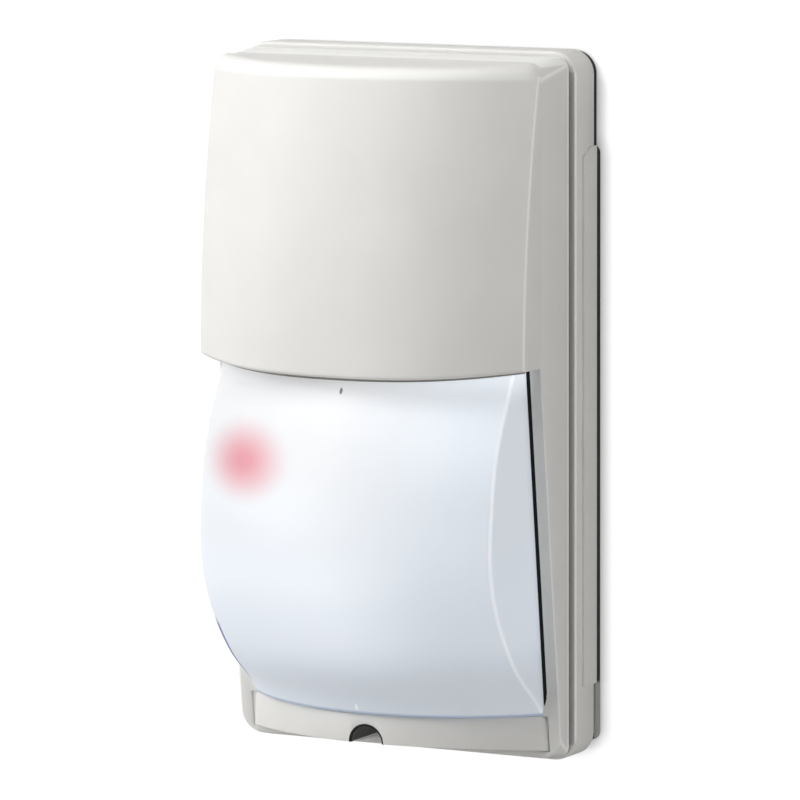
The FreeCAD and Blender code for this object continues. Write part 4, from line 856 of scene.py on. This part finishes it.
def lens_profile(z):
    """Depth of the window's side crease: a smooth curve through the side view's points.

    A natural cubic spline: second derivatives solve the usual three-term system.
    """
    knots = LENS_FOOT + LENS_SHARE * (LENS_TOP - LENS_FOOT)
    depths = RIM_LOW + LENS_PROUD
    count = knots.size
    gap = np.diff(knots)
    slope = np.diff(depths) / gap
    inner = np.arange(1, count - 1)
    system = np.eye(count)
    system[inner, inner - 1] = gap[:-1]
    system[inner, inner] = 2 * (gap[:-1] + gap[1:])
    system[inner, inner + 1] = gap[1:]
    bend = np.concatenate([[0.0], 6 * np.diff(slope), [0.0]])
    curve = np.linalg.solve(system, bend)
    i = np.clip(np.searchsorted(knots, z) - 1, 0, count - 2)
    a = (knots[i + 1] - z) / gap[i]
    b = (z - knots[i]) / gap[i]
    return (a * depths[i] + b * depths[i + 1]
            + ((a ** 3 - a) * curve[i] + (b ** 3 - b) * curve[i + 1]) * gap[i] ** 2 / 6)


def window(sheets):
    """Skin turned about an upright axis behind the case, with flat sides behind rounded creases.

    At each height the front is an arc whose radius reaches the side crease; the crease is
    rounded by a fillet and the sides run straight back behind the rim.
    """
    z = LENS_FOOT + (LENS_TOP - LENS_FOOT) * np.linspace(0, 1, 110)
    crease = lens_profile(z)
    radius = np.hypot(crease - LENS_AXIS, LENS_HALF)
    arc = 1 - np.cos(np.linspace(0, np.pi / 2, 7))
    across = eased(56, LENS_ROUND * arc / (2 * LENS_HALF))
    x = (2 * across - 1)[None, :] * LENS_HALF
    depth = LENS_AXIS + np.sqrt(np.maximum(radius[:, None] ** 2 - x ** 2, 0))
    depth = depth - rounding(LENS_HALF - np.abs(x), LENS_ROUND)
    front = to_row(x, depth, z[:, None])
    sheets.grid(front)
    back = rim_depth(z) - 3.5
    for line, end, count in ((front[:, 0], back, 8), (front[:, -1], back, 8),
                             (front[0], back[0], 2), (front[-1], back[-1], 2)):
        rear = line.copy()
        rear[:, 1] = mm(-(PLATE + end))
        sheets.grid(between(line, rear, count))


window_sheets = Sheets()
window(window_sheets)
window_piece = window_sheets.piece("window_skin", "window_plastic", window_plastic)
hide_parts("lens_window")


def window_shade(sheets):
    """Painted shade: black floor of the narrow gap between the window's sides and the rim, reaching lower on
    the right.
    """
    for side, low in ((-1, CHIN_TOP + 20.0), (1, CHIN_TOP + 1.5)):
        z = np.linspace(low, HOOD_LOW + 1.0, 12)
        rows = [to_row(side * x, rim_depth(z) - drop, z)
                for x, drop in ((LENS_HALF - 0.6, 0.3), (WINDOW_HALF - 0.02, 0.9), (WINDOW_HALF - 0.02, 2.4))]
        sheets.grid(np.array(rows))


shade_sheets = Sheets()
window_shade(shade_sheets)
# Black sheets of painted shade in the gap beside the window.
shade_sheets.piece("window_gap_painted_shade", "black_rubber", rubber_and_gap_shade)


# Rear case and its side pads


def rear_case(sheets):
    """Rings from the middle of the back over the side to the front lip, then down inside."""
    def ring(inset, depth):
        corner = max(CASE_CORNER - inset, 0.5)
        half_height = CASE_HALF_HEIGHT - inset
        x, z = rounded_outline(CASE_HALF_WIDTH - inset, half_height, -half_height, corner, corner).T
        return to_row(x, depth, z)

    back_gap, back_edge, lip_edge = 0.02, 0.5, 0.9
    back = ring(back_edge, back_gap)
    rings = [back * (0, 1, 1), back]
    for inset, drop in fillet(back_edge, 4)[::-1]:
        rings.append(ring(inset, back_gap + drop))
    for inset, drop in fillet(lip_edge, 6):
        rings.append(ring(inset, CASE_DEPTH - drop))
    rings.append(ring(CASE_WALL, CASE_DEPTH))
    floor = ring(CASE_WALL, CASE_WALL)
    rings += [floor, floor * (0, 1, 1)]
    sheets.grid(np.array(rings), closed_columns=True)


def side_pads(sheets):
    """Raised side panels: a five-cornered outline in depth and z, its border bevelled."""
    back, soft = 0.05, 0.12
    outline = np.array([(back, PAD_LOW), (PAD_DEPTH, PAD_LOW), (PAD_DEPTH, PAD_HIGH - PAD_CORNER / 2),
                        (PAD_DEPTH - PAD_CORNER, PAD_HIGH), (back, PAD_HIGH)])
    centre = np.array([PAD_DEPTH / 2, (PAD_LOW + PAD_HIGH) / 2])
    inner = outline + np.clip(centre - outline, -soft, soft)
    depth, z = outline.T
    face = CASE_HALF_WIDTH + PAD_PROUD
    for side in (-1, 1):
        rows = [
            to_row(side * (CASE_HALF_WIDTH - 0.2), depth, z),
            to_row(side * (face - soft), depth, z),
            to_row(side * face, *inner.T),
            to_row(side * face, centre[0], np.clip(z, PAD_LOW + 4, PAD_HIGH - 4)),
        ]
        sheets.grid(np.array(rows), closed_columns=True)


case_sheets = Sheets()
rear_case(case_sheets)
side_pads(case_sheets)
case_piece = case_sheets.piece("case_shell", "case_plastic", rear_plastic)
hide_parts("rear_case")


# Carried-over pieces

black_plastic = moulded("plastic_black", (0.02, 0.02, 0.022), roughness=0.5)
steel = metal("steel_plated", (0.62, 0.62, 0.60))
control = moulded("plastic_white", (0.8, 0.8, 0.77), roughness=0.35)
can = metal("can_plated", (0.70, 0.68, 0.62), roughness=0.25, stretch=(1.0, 14.0, 1.0))
aluminium = metal("can_drawn", (0.75, 0.76, 0.77), roughness=0.28, stretch=(1.0, 1.0, 1.0))
finishes = {
    "back_plate": plate_painted_shade_material(),
    "case_gasket": rubber_and_gap_shade,
    "cable_grommet": rubber_and_gap_shade,
    "cover_screw": steel,
    "board_screws": steel,
    "case_screws": steel,
    "terminal_screws": steel,
    "circuit_board": laminate(),
    "terminal_block": moulded("plastic_green", (0.03, 0.22, 0.09), roughness=0.45),
    "relay": moulded("plastic_blue", (0.03, 0.08, 0.28), roughness=0.35),
    "capacitor": aluminium,
    "controller_chip": black_plastic,
    "tamper_switch": black_plastic,
    "tamper_plunger": control,
    "trimmer_body": black_plastic,
    "trimmer_knob": control,
    "mode_switch": black_plastic,
    "mode_slider": control,
    "alarm_light": lit_lens(),
    "light_pipe": clear_resin(),
    "head_bracket": moulded("bracket_grey", (0.12, 0.12, 0.12), roughness=0.5),
    "detector_head": moulded("head_black", (0.015, 0.015, 0.016), roughness=0.55),
    "sensor_upper": can,
    "sensor_lower": can,
}
for name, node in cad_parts.items():
    node.data.materials.clear()
    node.data.materials.append(finishes.get(name, black_plastic))


# Stage: wall, floor, light and camera


def stage_material(name, lit, reach):
    """White to the camera, keeping a share of the real light, and clear from behind.

    Reach is how far the soft edge of shade spreads round the object; it is short above it.
    """
    material = bpy.data.materials.new(name)
    material.use_nodes = True
    nodes, links = material.node_tree.nodes, material.node_tree.links
    nodes.clear()
    output = nodes.new("ShaderNodeOutputMaterial")
    path = nodes.new("ShaderNodeLightPath")
    seen = path.outputs["Is Camera Ray"]
    diffuse = nodes.new("ShaderNodeBsdfDiffuse")
    links.new(blend(nodes, links, seen, (lit, lit, lit), (LIT_SHARE,) * 3), diffuse.inputs["Color"])
    glow = nodes.new("ShaderNodeEmission")
    strength = sums(nodes, links, "MULTIPLY", seen, PAPER_WHITE)
    if reach:
        near = nodes.new("ShaderNodeAmbientOcclusion")
        near.samples = 4
        place = nodes.new("ShaderNodeNewGeometry").outputs["Position"]
        height = split(nodes, links, place)[2]
        beside = step_between(nodes, links, height, mm(98), mm(108), reach, reach * 0.27)
        above_floor = step_between(nodes, links, height, FLOOR_LEVEL + 0.10, FLOOR_LEVEL + 0.15)
        links.new(sums(nodes, links, "MULTIPLY", beside, above_floor), near.inputs["Distance"])
        strength = sums(nodes, links, "MULTIPLY", strength, near.outputs["AO"])
    links.new(strength, glow.inputs["Strength"])
    both = nodes.new("ShaderNodeAddShader")
    links.new(diffuse.outputs[0], both.inputs[0])
    links.new(glow.outputs[0], both.inputs[1])
    facing = nodes.new("ShaderNodeNewGeometry")
    clear = nodes.new("ShaderNodeBsdfTransparent")
    choose = nodes.new("ShaderNodeMixShader")
    behind = sums(nodes, links, "MULTIPLY", facing.outputs["Backfacing"], seen)
    links.new(behind, choose.inputs[0])
    links.new(both.outputs[0], choose.inputs[1])
    links.new(clear.outputs[0], choose.inputs[2])
    links.new(choose.outputs[0], output.inputs["Surface"])
    return material


def flat(name, corners, faces, material):
    """A part of the stage, which is no part of the object."""
    mesh = bpy.data.meshes.new(name)
    mesh.from_pydata(corners, [], faces)
    mesh.materials.append(material)
    piece = bpy.data.objects.new(name, mesh)
    bpy.context.scene.collection.objects.link(piece)


def on_wall(half, low, high):
    """Corners of a rectangle on the wall."""
    return [(-half, WALL_Y, low), (half, WALL_Y, low), (half, WALL_Y, high), (-half, WALL_Y, high)]


# The wall is a frame round an opening that the back plate hides, so that light reaches the back

outer_edge = on_wall(STAGE_HALF, FLOOR_LEVEL, STAGE_HALF)
opening = on_wall(mm(54), mm(-103), mm(104))
between_edges = [(0, 1, 5, 4), (1, 2, 6, 5), (2, 3, 7, 6), (3, 0, 4, 7)]
flat("backdrop", outer_edge + opening, between_edges, stage_material("stage_wall", 0.5, mm(4.5)))
front_edge = [(-STAGE_HALF, -STAGE_HALF, FLOOR_LEVEL), (STAGE_HALF, -STAGE_HALF, FLOOR_LEVEL)]
flat("floor", front_edge + outer_edge[1::-1], [(0, 1, 2, 3)], stage_material("stage_floor", 0.5, 0.0))


def area_light(name, place, size, power, target=LAMP_TARGET):
    """Soft rectangular lamp that points at its target, in metres and watts."""
    data = bpy.data.lights.new(name, "AREA")
    data.shape = "RECTANGLE"
    data.size, data.size_y = size
    data.energy = power
    lamp = bpy.data.objects.new(name, data)
    bpy.context.scene.collection.objects.link(lamp)
    lamp.location = place
    lamp.rotation_euler = (Vector(target) - Vector(place)).to_track_quat("-Z", "Y").to_euler()


area_light("key", (-1.5, -1.3, 0.6), (1.4, 1.4), 25)
area_light("high_left", (-1.1, -1.0, 1.3), (1.2, 1.2), 12)
area_light("top", (-0.2, -0.9, 1.5), (1.4, 1.0), 12)
area_light("side", (1.8, -0.35, 0.1), (1.0, 1.4), 14.5)
area_light("behind", (0.5, 1.6, 0.5), (1.2, 1.2), 30, (0, 0, 0))

world = bpy.data.worlds.new("studio")
bpy.context.scene.world = world
world.use_nodes = True
surround = world.node_tree.nodes["Background"]
surround.inputs["Color"].default_value = (1, 1, 1, 1)
path = world.node_tree.nodes.new("ShaderNodeLightPath")
brightness = world.node_tree.nodes.new("ShaderNodeMapRange")
brightness.inputs["To Min"].default_value = WORLD_LIGHT
brightness.inputs["To Max"].default_value = 1.0
world.node_tree.links.new(path.outputs["Is Camera Ray"], brightness.inputs["Value"])
world.node_tree.links.new(brightness.outputs["Result"], surround.inputs["Strength"])


def photo_camera():
    """Camera fitted to the photograph: turned, pitched and rolled about a point on the case."""
    turn, pitch, roll = math.radians(28.0), math.radians(7.11), math.radians(-0.19)
    distance, sensor, shift = 2029.7, 36.0, -10.3
    side = Vector((math.cos(turn), math.sin(turn), 0))
    look = Vector((-math.sin(turn) * math.cos(pitch), math.cos(turn) * math.cos(pitch), -math.sin(pitch)))
    up = side.cross(look)
    right = math.cos(roll) * side + math.sin(roll) * up
    above = -math.sin(roll) * side + math.cos(roll) * up
    off_x = (ANCHOR_X - IMAGE_SIZE / 2) / PIXELS_PER_MM
    off_y = -(ANCHOR_Y - IMAGE_SIZE / 2 - shift) / PIXELS_PER_MM
    place = -off_x * right - off_y * above - distance * look + Vector((0, -PLATE, 0))
    data = bpy.data.cameras.new("photo_camera")
    data.sensor_width = sensor
    data.lens = PIXELS_PER_MM * distance * sensor / IMAGE_SIZE
    data.shift_y = shift / IMAGE_SIZE
    data.clip_end = 50.0
    camera = bpy.data.objects.new("photo_camera", data)
    bpy.context.scene.collection.objects.link(camera)
    axes = Matrix((right, above, -look)).transposed()
    camera.matrix_world = Matrix.Translation(mm(place)) @ axes.to_4x4()
    bpy.context.scene.camera = camera


photo_camera()
bpy.context.scene.view_settings.view_transform = "Standard"
